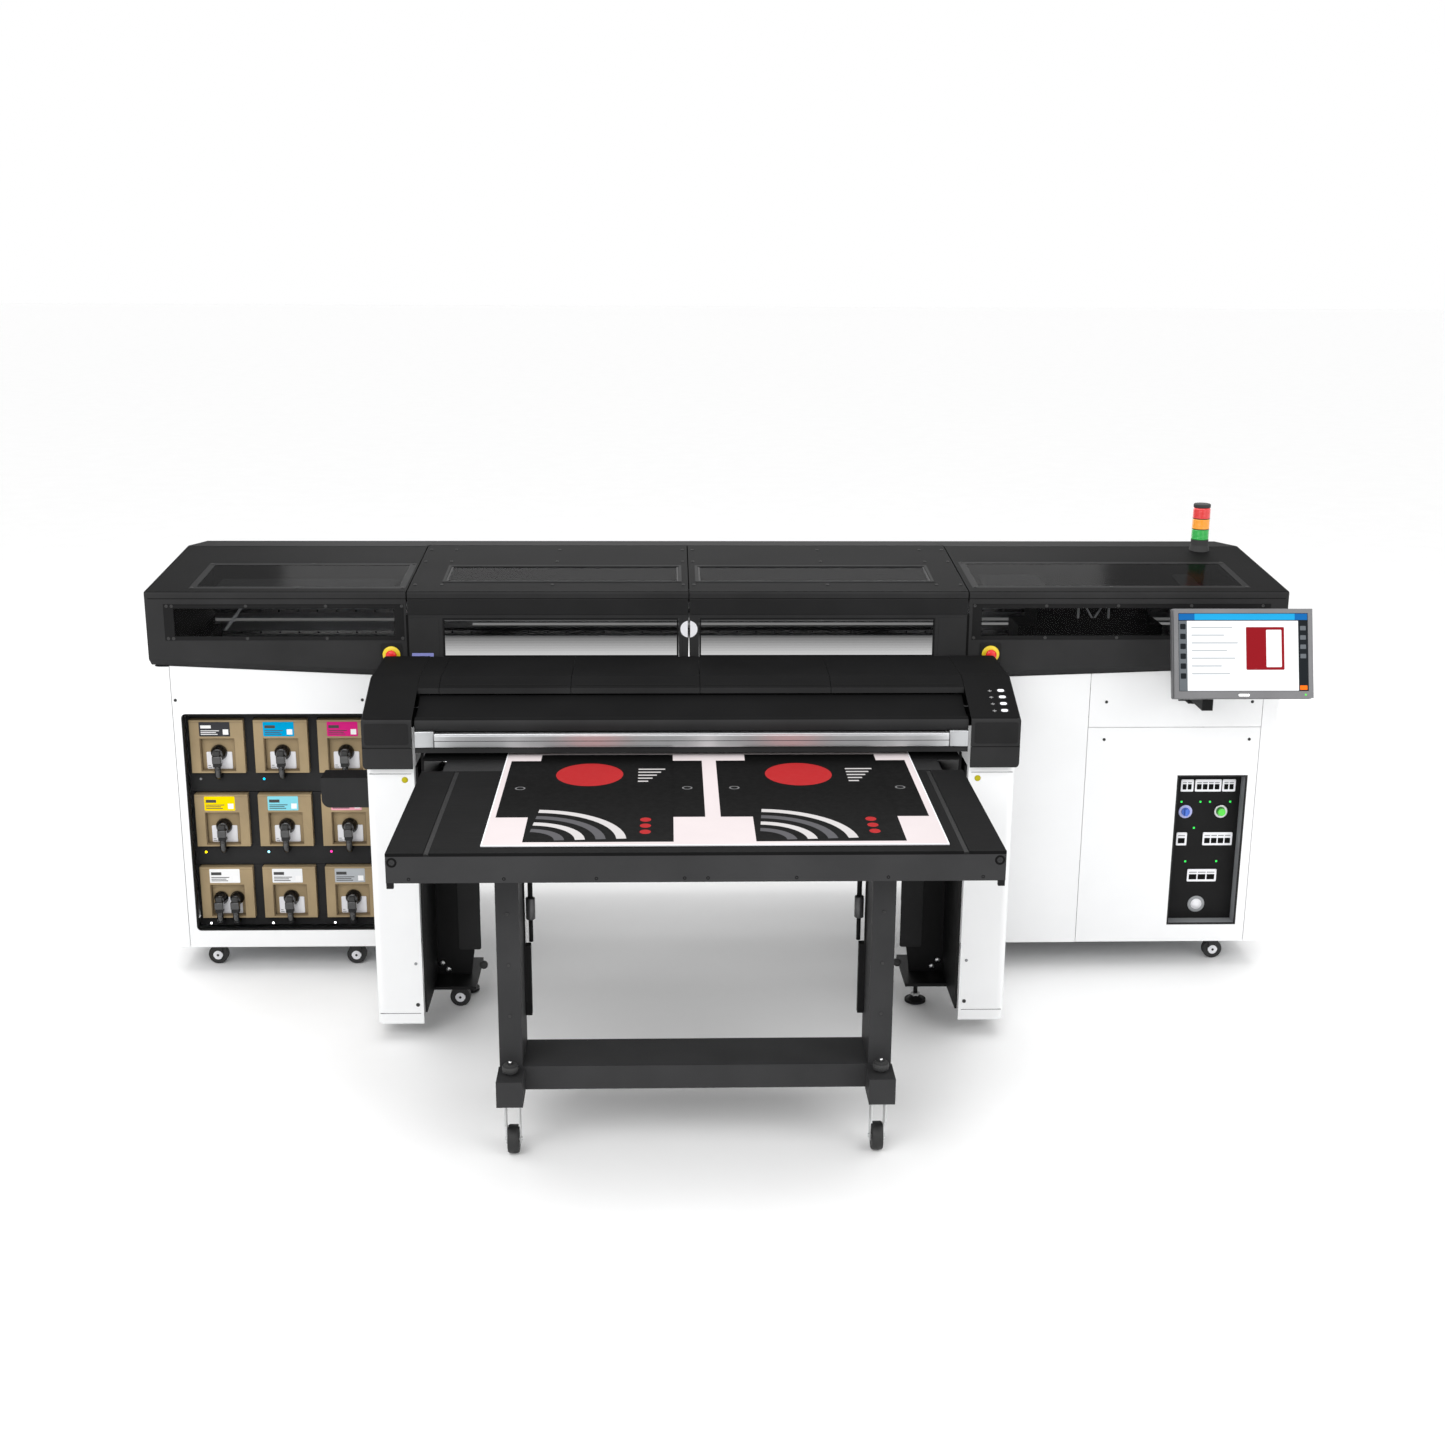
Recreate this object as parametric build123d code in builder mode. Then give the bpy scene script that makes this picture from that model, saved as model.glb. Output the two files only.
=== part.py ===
from build123d import *
import math
import os

os.makedirs("parts", exist_ok=True)

# ---------------------------------------------------------------- driving dimensions (mm)
# Every height is above the floor. Every y is measured from the front plane of the side
# cabinets (positive to the rear), every x from the middle of the print zone.
print_x = -125.0  # middle of the print zone, from the middle of the whole machine
face_y = 346.0  # front plane of the cabinets, from the middle of the whole machine

floor_gap = 103.0  # underside of the cabinets
seam_left, seam_right = -1058.0, 1046.0  # where the end covers meet the centre hoods
sheet = 4.0  # painted sheet metal
wall = 5.0  # moulded covers
gap = 1.0  # seam between neighbouring covers

left_out = -2008.0  # outer faces of the cabinets
right_out = 2272.0
cover_left = -2022.0  # outer faces of the end covers
cover_right = 2256.0
cabinet_depth = 940.0

lid_front_y, lid_front_z = -30.0, 1525.0  # front top edge of the hoods
crest_y, crest_z = 640.0, 1583.0  # highest line of the hoods
rear_y, rear_z = 950.0, 1550.0  # rear top edge of the covers
hood_drop = 1262.0  # lower edge of the centre hoods

media_z = 1068.0  # surface that carries the board
board_t = 5.0
belt_t = 3.0
roller_r = 50.0
roller_half = 900.0
belt_y0, belt_y1 = 300.0, 820.0  # axes of the two belt rollers
shaft_r = 15.0
running = 0.05  # radial clearance of the bores that turn

table_half = 915.0
table_front = -1642.0
table_back = -813.0
leg_x0, leg_x1 = 543.0, 615.0

unit_front = -660.0  # front face of the output unit
unit_rear = -110.0
unit_top = 1300.0
cap_in, cap_out = 965.0, 1140.0

box_w, box_h, box_d = 206.0, 210.0, 350.0  # ink carton
box_pitch_x = 243.0
box_first_x = -1914.0
box_rows = (803.0, 505.0, 208.0)  # undersides of the three rows of cartons
box_face = 45.0  # cartons stand back from the cabinet front
hose_r = 13.0

carriage_x0, carriage_x1 = 1400.0, 1850.0  # parked at the right
rail_zs = (1205.0, 1295.0)

panel_x0, panel_x1 = 1892.0, 2168.0  # connection panel opening
panel_z0, panel_z1 = 174.0, 795.0
panel_back = 60.0  # the connections are sunk this far

monitor_w, monitor_h, monitor_t = 514.0, 330.0, 28.0
monitor_x, monitor_y, monitor_z = 2007.0, -300.0, 1350.0  # centre of the screen
monitor_tilt = 17.6
arm_x = 1910.0


# ---------------------------------------------------------------- planes and small helpers
def level(z):
    """Horizontal sketch plane at height z, centred on the print zone."""
    return Plane((print_x, face_y, z))


def front(y):
    """Upright sketch plane across the machine at depth y: local (x, z), extrudes forwards."""
    return Plane(origin=(print_x, face_y + y, 0), x_dir=(1, 0, 0), z_dir=(0, -1, 0))


def side(x):
    """Upright sketch plane along the depth at x: local (y, z), extrudes towards +X."""
    return Plane(origin=(print_x + x, face_y, 0), x_dir=(0, 1, 0), z_dir=(1, 0, 0))


def spot(x, y, z):
    """Point given from the print zone and the cabinet front, in the part's own frame."""
    return (print_x + x, face_y + y, z)


def slab(x0, x1, y0, y1, z0, z1, mode=Mode.ADD):
    """Box given by its faces, in the part that is being built."""
    with Locations(spot((x0 + x1) / 2, (y0 + y1) / 2, (z0 + z1) / 2)):
        Box(abs(x1 - x0), abs(y1 - y0), abs(z1 - z0), mode=mode)


def rod(axis, radius, start, end, a, b, mode=Mode.ADD):
    """Cylinder along axis X, Y or Z from start to end; a and b place its centre line."""
    middle = (start + end) / 2
    place = {"X": (middle, a, b), "Y": (a, middle, b), "Z": (a, b, middle)}[axis]
    turn = {"X": (0, 90, 0), "Y": (90, 0, 0), "Z": (0, 0, 0)}[axis]
    with Locations(spot(*place)):
        Cylinder(radius, abs(end - start), rotation=turn, mode=mode)


def mirrored_pair(x0, x1):
    """The same stretch of x at the right and at the left of the print zone."""
    return ((x0, x1), (-x1, -x0))


lid_tilt = math.atan2(crest_z - lid_front_z, crest_y - lid_front_y)
lid_plane = Plane(
    origin=(print_x, face_y + lid_front_y, lid_front_z),
    x_dir=(1, 0, 0),
    z_dir=(0, -math.sin(lid_tilt), math.cos(lid_tilt)),
)

# ---------------------------------------------------------------- welded frames of the cabinets
post = 40.0
tray_top = 113.0
deck_z0, deck_z1 = 1022.0, 1030.0
left_frame_x = (-1995.0, -1060.0)
right_frame_x = (1060.0, 2258.0)
frame_y0, frame_y1 = 20.0, 930.0
rack_back = 412.0

with BuildPart() as cabinet_frames:
    for x0, x1 in (left_frame_x, right_frame_x):
        slab(x0, x1, frame_y0, frame_y1, floor_gap, tray_top)
        for post_x in (x0, x1 - post):
            for post_y in (frame_y0, frame_y1 - post):
                slab(post_x, post_x + post, post_y, post_y + post, tray_top, deck_z0)
    slab(*left_frame_x, rack_back, frame_y1, deck_z0, deck_z1)
    slab(*right_frame_x, frame_y0, frame_y1, deck_z0, deck_z1)
    for beam_z in (480.0, 800.0):
        slab(left_frame_x[1], right_frame_x[0], frame_y1 - 60, frame_y1 - 10, beam_z, beam_z + 50)
cabinet_frames.part.label = "cabinet_frames"
export_step(cabinet_frames.part, "parts/cabinet_frames.step")

# ---------------------------------------------------------------- white sheet-metal panels
# The covers above slope down towards the print zone, so the panels' top edges do too.
left_drop_out, left_drop_in = 1270.0, 1224.0  # lower edge of the left cover's front
right_drop_out, right_drop_in = 1256.0, 1215.0
bevel = 28.0  # height of the bevel under that edge
fold_left = -1959.0  # seams beside the folded corners
fold_right = 2204.0
left_side_top, right_side_top = 1234.0, 1222.0
back_left_top, back_right_top = 1188.0, 1182.0
corner_r = 12.0


def panel_top(x):
    """Height of a front panel's top edge, just under the end cover's bevel."""
    if x < 0:
        share = (x - cover_left) / (seam_left - cover_left)
        return left_drop_out + (left_drop_in - left_drop_out) * share - bevel - 2
    share = (cover_right - x) / (cover_right - seam_right)
    return right_drop_out + (right_drop_in - right_drop_out) * share - bevel - 2


with BuildPart() as left_side_panel:
    with BuildSketch(level(floor_gap)):
        with BuildLine():
            FilletPolyline(
                (fold_left, 0), (left_out, 0), (left_out, cabinet_depth), radius=corner_r
            )
            offset(amount=sheet, side=Side.RIGHT)
        make_face()
    extrude(amount=left_side_top - floor_gap)
left_side_panel.part.label = "left_side_panel"
export_step(left_side_panel.part, "parts/left_side_panel.step")

with BuildPart() as right_side_panel:
    with BuildSketch(level(floor_gap)):
        with BuildLine():
            FilletPolyline(
                (fold_right, 0), (right_out, 0), (right_out, cabinet_depth), radius=corner_r
            )
            offset(amount=sheet, side=Side.LEFT)
        make_face()
    extrude(amount=right_side_top - floor_gap)
right_side_panel.part.label = "right_side_panel"
export_step(right_side_panel.part, "parts/right_side_panel.step")

rack_x0, rack_x1 = -1928.0, -1196.0
rack_z0, rack_z1 = 171.0, 1050.0
with BuildPart() as left_front_panel:
    with BuildSketch(front(sheet)):
        with BuildLine():
            Polyline(
                (fold_left + 2, floor_gap),
                (seam_left, floor_gap),
                (seam_left, panel_top(seam_left)),
                (fold_left + 2, panel_top(fold_left)),
                close=True,
            )
        make_face()
        with Locations(((rack_x0 + rack_x1) / 2, (rack_z0 + rack_z1) / 2)):
            RectangleRounded(rack_x1 - rack_x0, rack_z1 - rack_z0, 18, mode=Mode.SUBTRACT)
    extrude(amount=sheet)
left_front_panel.part.label = "left_front_panel"
export_step(left_front_panel.part, "parts/left_front_panel.step")

door_x = 1531.0  # seam between the fixed sheet and the two panels beside it
shelf_seam_z = 989.0
with BuildPart() as right_panels:
    with BuildSketch(front(sheet)):
        with BuildLine():
            Polyline(
                (seam_right, floor_gap),
                (door_x - gap, floor_gap),
                (door_x - gap, panel_top(door_x)),
                (seam_right, panel_top(seam_right)),
                close=True,
            )
        make_face()
        with BuildLine():
            Polyline(
                (door_x + gap, shelf_seam_z + gap),
                (fold_right - 2, shelf_seam_z + gap),
                (fold_right - 2, panel_top(fold_right)),
                (door_x + gap, panel_top(door_x)),
                close=True,
            )
        make_face()
        with Locations(((door_x + fold_right) / 2 - gap / 2, (floor_gap + shelf_seam_z) / 2)):
            Rectangle(fold_right - door_x - 3 * gap, shelf_seam_z - floor_gap - 2 * gap)
        with Locations(((panel_x0 + panel_x1) / 2, (panel_z0 + panel_z1) / 2)):
            Rectangle(panel_x1 - panel_x0, panel_z1 - panel_z0, mode=Mode.SUBTRACT)
    extrude(amount=sheet)
right_panels.part.label = "right_panels"
export_step(right_panels.part, "parts/right_panels.step")

rear_top_y = 663.0  # front edge of the fixed rear cover
rear_top_z = crest_z - 2.5
hood_split = -6.0
hood_left_x = (seam_left + 4, hood_split - 2)
hood_right_x = (hood_split + 2, seam_right - 4)
barrel_y, barrel_z, barrel_r = 650.0, 1566.0, 6.0  # hinges of the hoods
with BuildPart() as back_panels:
    for x0, x1, top_z in (
        (left_out + 5, seam_left, back_left_top),
        (seam_right, right_out - 5, back_right_top),
    ):
        slab(x0, x1, cabinet_depth - sheet, cabinet_depth, floor_gap, top_z)
    with BuildSketch(side(seam_left + gap)):
        with BuildLine():
            Polyline(
                (rear_top_y, rear_top_z),
                (rear_y, rear_z),
                (rear_y, media_z + 60),
                (rear_y - wall, media_z + 60),
                (rear_y - wall, rear_z - wall),
                (rear_top_y, rear_top_z - wall),
                close=True,
            )
        make_face()
    extrude(amount=seam_right - seam_left - 2 * gap)
    for x0, x1 in (hood_left_x, hood_right_x):
        for eye_x in (x0 + 60, x1 - 100):
            slab(eye_x - 20, eye_x - 1, barrel_y - 8, 700, barrel_z - 10, barrel_z + 7)
            rod("X", barrel_r, eye_x - 2, eye_x + 40, barrel_y, barrel_z)
back_panels.part.label = "back_panels"
export_step(back_panels.part, "parts/back_panels.step")

# ---------------------------------------------------------------- moulded end covers
strip_z0, strip_z1 = 1342.0, 1480.0  # front window with its frame
glass_z0, glass_z1 = 1357.0, 1463.0
window_t = 3.0
estop_z = 1287.0
estop_stem = 8.0


def cover_outline(edge_z):
    """Outer section of an end cover whose front ends at edge_z."""
    return [
        (lid_front_y, edge_z),
        (lid_front_y, lid_front_z),
        (crest_y, crest_z),
        (rear_y, rear_z),
        (rear_y, edge_z - bevel),
        (2, edge_z - bevel),
    ]


def cover_hollow(edge_z):
    """Inner section of the same cover, open below."""
    return [
        (lid_front_y + wall, edge_z + 3),
        (lid_front_y + wall, lid_front_z - wall),
        (crest_y, crest_z - wall),
        (rear_y - wall, rear_z - wall),
        (rear_y - wall, edge_z - 100),
        (8, edge_z - 100),
        (8, edge_z - bevel + 3),
    ]


def end_cover(outer_x, drop_out, drop_in, seam, estop_x, front_window, top_window):
    """Shell over one cabinet: windows in its front and top, open below and at the seam."""
    inward = 1 if seam > outer_x else -1
    with BuildPart() as cover:
        for plane_x, edge_z in ((outer_x, drop_out), (seam, drop_in)):
            with BuildSketch(side(plane_x)):
                with BuildLine():
                    Polyline(*cover_outline(edge_z), close=True)
                make_face()
        loft(ruled=True)
        front_edges = cover.edges().filter_by(lambda e: abs(e.center().Z - lid_front_z) < 2)
        fillet(front_edges, 8)
    with BuildPart() as hollow:
        for plane_x, edge_z in ((outer_x + inward * wall, drop_out), (seam + inward * 20, drop_in)):
            with BuildSketch(side(plane_x)):
                with BuildLine():
                    Polyline(*cover_hollow(edge_z), close=True)
                make_face()
        loft(ruled=True)
    with BuildPart() as shell:
        add(cover.part)
        add(hollow.part, mode=Mode.SUBTRACT)
        for x0, x1, low, high, depth in (
            (front_window[0], front_window[1], strip_z0, strip_z1, window_t),
            (front_window[0] + 36, front_window[1] - 36, glass_z0, glass_z1, wall + 1),
        ):
            with BuildSketch(front(lid_front_y + depth)):
                with Locations(((x0 + x1) / 2, (low + high) / 2)):
                    Rectangle(x1 - x0, high - low)
            extrude(amount=depth + 1, mode=Mode.SUBTRACT)
        for edge, depth in ((0, window_t), (26, wall + 1)):
            x0, x1 = top_window[0] + edge, top_window[1] - edge
            low, high = top_window[2] + edge, top_window[3] - edge
            with BuildSketch(lid_plane.offset(-depth)):
                with Locations(((x0 + x1) / 2, (low + high) / 2)):
                    Rectangle(x1 - x0, high - low)
            extrude(amount=depth + 1, mode=Mode.SUBTRACT)
        with BuildSketch(front(lid_front_y)):
            with Locations((estop_x, estop_z + 3)):
                RectangleRounded(80, 80, 6)
        extrude(amount=3)
        with BuildSketch(front(lid_front_y - 3)):
            with Locations((estop_x, estop_z)):
                Circle(32)
        extrude(amount=4)
        with BuildSketch(front(lid_front_y + 15)):
            with Locations((estop_x, estop_z)):
                Circle(estop_stem + running)
        extrude(amount=30, mode=Mode.SUBTRACT)
    return shell


left_front_window = (-1955.0, -1068.0)
right_front_window = (1060.0, 2190.0)
left_top_window = (-1872.0, -1066.0, 50.0, 408.0)
right_top_window = (1066.0, 2128.0, 60.0, 430.0)
left_estop_x = -1119.0
right_estop_x = 1134.0

left_end_cover = end_cover(
    cover_left, left_drop_out, left_drop_in, seam_left - gap,
    left_estop_x, left_front_window, left_top_window,
)
left_end_cover.part.label = "left_end_cover"
export_step(left_end_cover.part, "parts/left_end_cover.step")

right_end_cover = end_cover(
    cover_right, right_drop_out, right_drop_in, seam_right + gap,
    right_estop_x, right_front_window, right_top_window,
)
right_end_cover.part.label = "right_end_cover"
export_step(right_end_cover.part, "parts/right_end_cover.step")

with BuildPart() as end_windows:
    with BuildSketch(front(lid_front_y + window_t)):
        for x0, x1 in (left_front_window, right_front_window):
            with Locations(((x0 + x1) / 2, (strip_z0 + strip_z1) / 2)):
                Rectangle(x1 - x0 - 1, strip_z1 - strip_z0 - 1)
    extrude(amount=window_t - 0.5)
    with BuildSketch(lid_plane.offset(-window_t)):
        for x0, x1, low, high in (left_top_window, right_top_window):
            with Locations(((x0 + x1) / 2, (low + high) / 2)):
                Rectangle(x1 - x0 - 1, high - low - 1)
    extrude(amount=window_t - 0.5)
end_windows.part.label = "end_windows"
export_step(end_windows.part, "parts/end_windows.step")


# ---------------------------------------------------------------- emergency-stop buttons
def estop_button(x):
    """Mushroom head on its stem, which slides in the cover."""
    with BuildPart() as button:
        with BuildSketch(front(lid_front_y - 13)):
            with Locations((x, estop_z)):
                Circle(20)
        extrude(amount=16)
        fillet(button.faces().sort_by(Axis.Y)[0].edges(), 6)
        rod("Y", estop_stem, lid_front_y - 14, lid_front_y + 20, x, estop_z)
    return button


estop_left = estop_button(left_estop_x)
estop_left.part.label = "estop_left"
export_step(estop_left.part, "parts/estop_left.step")
estop_right = estop_button(right_estop_x)
estop_right.part.label = "estop_right"
export_step(estop_right.part, "parts/estop_right.step")

# ---------------------------------------------------------------- centre hoods and sill
hood_window_z = (1276.0, 1426.0)
centre_post = 36.0  # half width of the post between the front windows
left_stile, right_stile = 128.0, 122.0  # width of the hoods beside their windows
hood_top_window = (150.0, 358.0)  # along the slope


def window_span(x0, x1):
    """Stretch of x that a hood's windows take."""
    if x1 < 0:
        return (x0 + left_stile, x1 - centre_post)
    return (x0 + centre_post, x1 - right_stile)


def hood(x0, x1):
    """Angled hood: sloping top with a window, front leaf with a window, hinge eyes behind."""
    glass_x = window_span(x0, x1)
    with BuildPart() as leaf:
        with BuildSketch(side(x0)):
            with BuildLine():
                Polyline(
                    (lid_front_y, hood_drop),
                    (lid_front_y, lid_front_z),
                    (crest_y, crest_z),
                    (crest_y, crest_z - wall),
                    (lid_front_y + wall, lid_front_z - wall),
                    (lid_front_y + wall, hood_drop),
                    close=True,
                )
            make_face()
        extrude(amount=x1 - x0)
        front_edges = leaf.edges().filter_by(Axis.X).group_by(Axis.Y)[0].sort_by(Axis.Z)[-1]
        fillet(front_edges, 8)
        with BuildSketch(front(lid_front_y + window_t)):
            with Locations(((glass_x[0] + glass_x[1]) / 2, sum(hood_window_z) / 2)):
                Rectangle(glass_x[1] - glass_x[0], hood_window_z[1] - hood_window_z[0])
        extrude(amount=wall, both=True, mode=Mode.SUBTRACT)
        with BuildSketch(lid_plane):
            with Locations(((glass_x[0] + glass_x[1]) / 2, sum(hood_top_window) / 2)):
                Rectangle(glass_x[1] - glass_x[0], hood_top_window[1] - hood_top_window[0])
        extrude(amount=-2 * wall, mode=Mode.SUBTRACT)
    with BuildPart() as whole:
        add(leaf.part)
        for eye_x in (x0 + 60, x1 - 100):
            slab(eye_x, eye_x + 40, crest_y - 60, barrel_y, barrel_z - 6, barrel_z + 9)
            rod("X", barrel_r + 4, eye_x, eye_x + 40, barrel_y, barrel_z)
            rod("X", barrel_r + running, eye_x - 1, eye_x + 41, barrel_y, barrel_z, Mode.SUBTRACT)
    return whole


def hood_window(x0, x1):
    """The two panes of one hood, let into its openings."""
    glass_x = window_span(x0, x1)
    width = glass_x[1] - glass_x[0] - 1
    with BuildPart() as panes:
        with BuildSketch(front(lid_front_y + window_t + 1)):
            with Locations(((glass_x[0] + glass_x[1]) / 2, sum(hood_window_z) / 2)):
                Rectangle(width, hood_window_z[1] - hood_window_z[0] - 1)
        extrude(amount=window_t)
        with BuildSketch(lid_plane.offset(-window_t - 1)):
            with Locations(((glass_x[0] + glass_x[1]) / 2, sum(hood_top_window) / 2)):
                Rectangle(width, hood_top_window[1] - hood_top_window[0] - 1)
        extrude(amount=window_t)
    return panes


for label, make, span in (
    ("hood_left", hood, hood_left_x),
    ("hood_right", hood, hood_right_x),
    ("hood_left_window", hood_window, hood_left_x),
    ("hood_right_window", hood_window, hood_right_x),
):
    hood_piece = make(*span)
    hood_piece.part.label = label
    export_step(hood_piece.part, f"parts/{label}.step")

fascia_low = 1180.0
with BuildPart() as centre_fascia:
    slab(seam_left + 2, seam_right - 2, -28, -22, fascia_low, hood_drop - 3)
    slab(seam_left + 2, seam_right - 2, -28, 40, fascia_low - 6, fascia_low)
centre_fascia.part.label = "centre_fascia"
export_step(centre_fascia.part, "parts/centre_fascia.step")

# ---------------------------------------------------------------- print beam, rails, carriage
beam_y0, beam_y1 = 740.0, 830.0
rail_t = 15.0
beam_low, beam_high = 1180.0, 1330.0
with BuildPart() as print_beam:
    slab(-1960, 2210, beam_y0, beam_y1, beam_low, beam_high)
    for foot_x in (-1900, -1160, 1070, 2060):
        slab(foot_x, foot_x + 90, beam_y0, beam_y1, deck_z1, beam_low)
    for rail_z in rail_zs:
        slab(-1950, 2200, beam_y0 - rail_t, beam_y0, rail_z - 7, rail_z + 7)
print_beam.part.label = "print_beam"
export_step(print_beam.part, "parts/print_beam.step")

carriage_y0, carriage_y1 = 430.0, 690.0
carriage_z0, carriage_z1 = 1100.0, 1370.0
head_z = 1079.0  # underside of the print heads
head_pitch, head_w = 56.0, 36.0
lamp_w = 70.0
with BuildPart() as carriage:
    slab(carriage_x0, carriage_x1, carriage_y0, carriage_y1, carriage_z0, carriage_z1)
    chamfer(carriage.edges().filter_by(Axis.X).group_by(Axis.Z)[-1], 25)
    slab(
        carriage_x0 + 60, carriage_x1 - 60,
        carriage_y1, beam_y0 - rail_t - 0.5, beam_low, beam_high,
    )
    for rail_z in rail_zs:
        for block_x in (carriage_x0 + 70, carriage_x1 - 150):
            slab(block_x, block_x + 80, 716, beam_y0 - 2, rail_z + 7.4, rail_z + 18)
            slab(block_x, block_x + 80, 716, beam_y0 - 2, rail_z - 18, rail_z - 7.4)
    for head in range(5):
        head_x = carriage_x0 + 95 + head_pitch * head
        slab(head_x, head_x + head_w, carriage_y0 + 40, carriage_y1 - 40, head_z, carriage_z0)
    for lamp_x in (carriage_x0 - lamp_w, carriage_x1):
        slab(lamp_x, lamp_x + lamp_w, carriage_y0 + 30, carriage_y1 - 30, head_z + 3, 1290)
carriage.part.label = "carriage"
export_step(carriage.part, "parts/carriage.step")

station_w = 490.0
with BuildPart() as service_stations:
    for x0 in (-1790.0, carriage_x0 - 20):
        slab(x0, x0 + station_w, carriage_y0 - 10, carriage_y1 - 10, deck_z1, media_z)
        with Locations(spot(x0 + station_w / 2, (carriage_y0 + carriage_y1) / 2 - 10, media_z - 5)):
            with GridLocations(head_pitch, 0, 5, 1):
                Box(head_w + 4, 190, 12, mode=Mode.SUBTRACT)
service_stations.part.label = "service_stations"
export_step(service_stations.part, "parts/service_stations.step")

# ---------------------------------------------------------------- belt transport
roller_z = media_z - 0.3 - belt_t - roller_r - 0.3
plate_x0, plate_x1 = 935.0, 945.0
plate_low = 900.0
with BuildPart() as side_plates:
    for x0, x1 in mirrored_pair(plate_x0, plate_x1):
        slab(x0, x1, -600, 870, plate_low, media_z - 2)
        for roller_y in (belt_y0, belt_y1):
            rod("X", shaft_r + running, x0 - 1, x1 + 1, roller_y, roller_z, Mode.SUBTRACT)
        outer = (x1, right_frame_x[0]) if x0 > 0 else (left_frame_x[1], x0)
        slab(*outer, 440, 500, plate_low, plate_low + 60)
        slab(*outer, frame_y1 - 120, frame_y1 - 80, plate_low, plate_low + 60)
side_plates.part.label = "side_plates"
export_step(side_plates.part, "parts/side_plates.step")


def belt_roller(y):
    """Rubber-covered roller with its two shaft ends."""
    with BuildPart() as roller:
        rod("X", roller_r, -roller_half, roller_half, y, roller_z)
        rod("X", shaft_r, -plate_x1 - 15, plate_x1 + 15, y, roller_z)
        with BuildSketch(side(plate_x1 + 15)):
            with Locations((y, roller_z)):
                RegularPolygon(30, 8)
        extrude(amount=8)
    return roller


for label, roller_y in (("front_roller", belt_y0), ("rear_roller", belt_y1)):
    roller_piece = belt_roller(roller_y)
    roller_piece.part.label = label
    export_step(roller_piece.part, f"parts/{label}.step")

with BuildPart() as transport_belt:
    with BuildSketch(side(-roller_half)):
        with Locations(((belt_y0 + belt_y1) / 2, roller_z)):
            SlotCenterToCenter(belt_y1 - belt_y0, 2 * (roller_r + 0.3 + belt_t))
            SlotCenterToCenter(belt_y1 - belt_y0, 2 * (roller_r + 0.3), mode=Mode.SUBTRACT)
    extrude(amount=2 * roller_half)
transport_belt.part.label = "transport_belt"
export_step(transport_belt.part, "parts/transport_belt.step")

with BuildPart() as platen:
    slab(-880, 880, belt_y0 + 60, belt_y1 - 60, 1035, media_z - belt_t - 1)
    slab(-930, 930, -672, belt_y0 - 62, 1061, media_z - 1)
platen.part.label = "platen"
export_step(platen.part, "parts/platen.step")

# ---------------------------------------------------------------- ink rack and cartons
fascia_y = box_face + 22
shelf_drop = 81.0  # depth of the fascia below a row of cartons
joint = 0.4  # gap between the moulded pieces of the rack
columns = [box_first_x + box_pitch_x * n for n in range(3)]
rack_y1 = rack_back - 6 - joint
with BuildPart() as ink_rack:
    slab(rack_x0, rack_x1, rack_back - 6, rack_back, rack_z0, rack_z1)
    slab(rack_x0, rack_x1, fascia_y, rack_y1, box_rows[0] + box_h + 5, rack_z1)
    slab(rack_x0, rack_x1, fascia_y, rack_y1, box_rows[2] - 1, rack_z0)
    for row_z in box_rows:
        if row_z != box_rows[2]:
            slab(rack_x0, rack_x1, fascia_y, rack_y1, row_z - shelf_drop, row_z - 1)
        bay_z = (row_z - 1 + joint, row_z + box_h + 5 - joint)
        slab(rack_x0, columns[0] - 1, fascia_y, rack_y1, *bay_z)
        slab(columns[-1] + box_w + 1, rack_x1, fascia_y, rack_y1, *bay_z)
        for x0, x1 in zip(columns, columns[1:]):
            slab(x0 + box_w + 1, x1 - 1, fascia_y, rack_y1, *bay_z)
ink_rack.part.label = "ink_rack"
export_step(ink_rack.part, "parts/ink_rack.step")

coupler_z = 76.0  # coupler centre above the carton's underside
recess_w, recess_h, recess_d = 133.0, 132.0, 26.0


def ink_carton(x, z, coupler_xs):
    """Carton with its sunk front, white plate, coupler and the hose elbow below it."""
    with BuildPart() as carton:
        slab(x + 1, x + box_w - 1, box_face, box_face + box_d, z, z + box_h)
        fillet(carton.edges().filter_by(Axis.Z).group_by(Axis.Y)[0], 5)
        middle = x + box_w / 2
        slab(
            middle - recess_w / 2, middle + recess_w / 2,
            box_face - 1, box_face + recess_d, z + 6, z + 6 + recess_h, Mode.SUBTRACT,
        )
        for coupler_x in coupler_xs:
            at = middle + coupler_x
            rod("Y", 30, box_face - 10, box_face + recess_d, at, z + coupler_z)
            with BuildLine(side(at)) as route:
                FilletPolyline(
                    (box_face - 15, z + coupler_z - 20),
                    (box_face - 15, z - 14),
                    (fascia_y - 3, z - 14),
                    radius=18,
                )
            with BuildSketch(Plane((print_x + at, face_y + box_face - 15, z + coupler_z - 20))):
                Circle(hose_r)
            sweep(path=route.wires()[0])
            slab(at - 17, at + 17, box_face - 32, box_face - 8, z + coupler_z - 32, z + coupler_z + 17)
    return carton


number = 0
for row_z in box_rows:
    for column_x in columns:
        number += 1
        twin = number == 7
        carton_piece = ink_carton(column_x, row_z, (-31, 31) if twin else (0,))
        carton_piece.part.label = f"ink_carton_{number}"
        export_step(carton_piece.part, f"parts/ink_carton_{number}.step")

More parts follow.
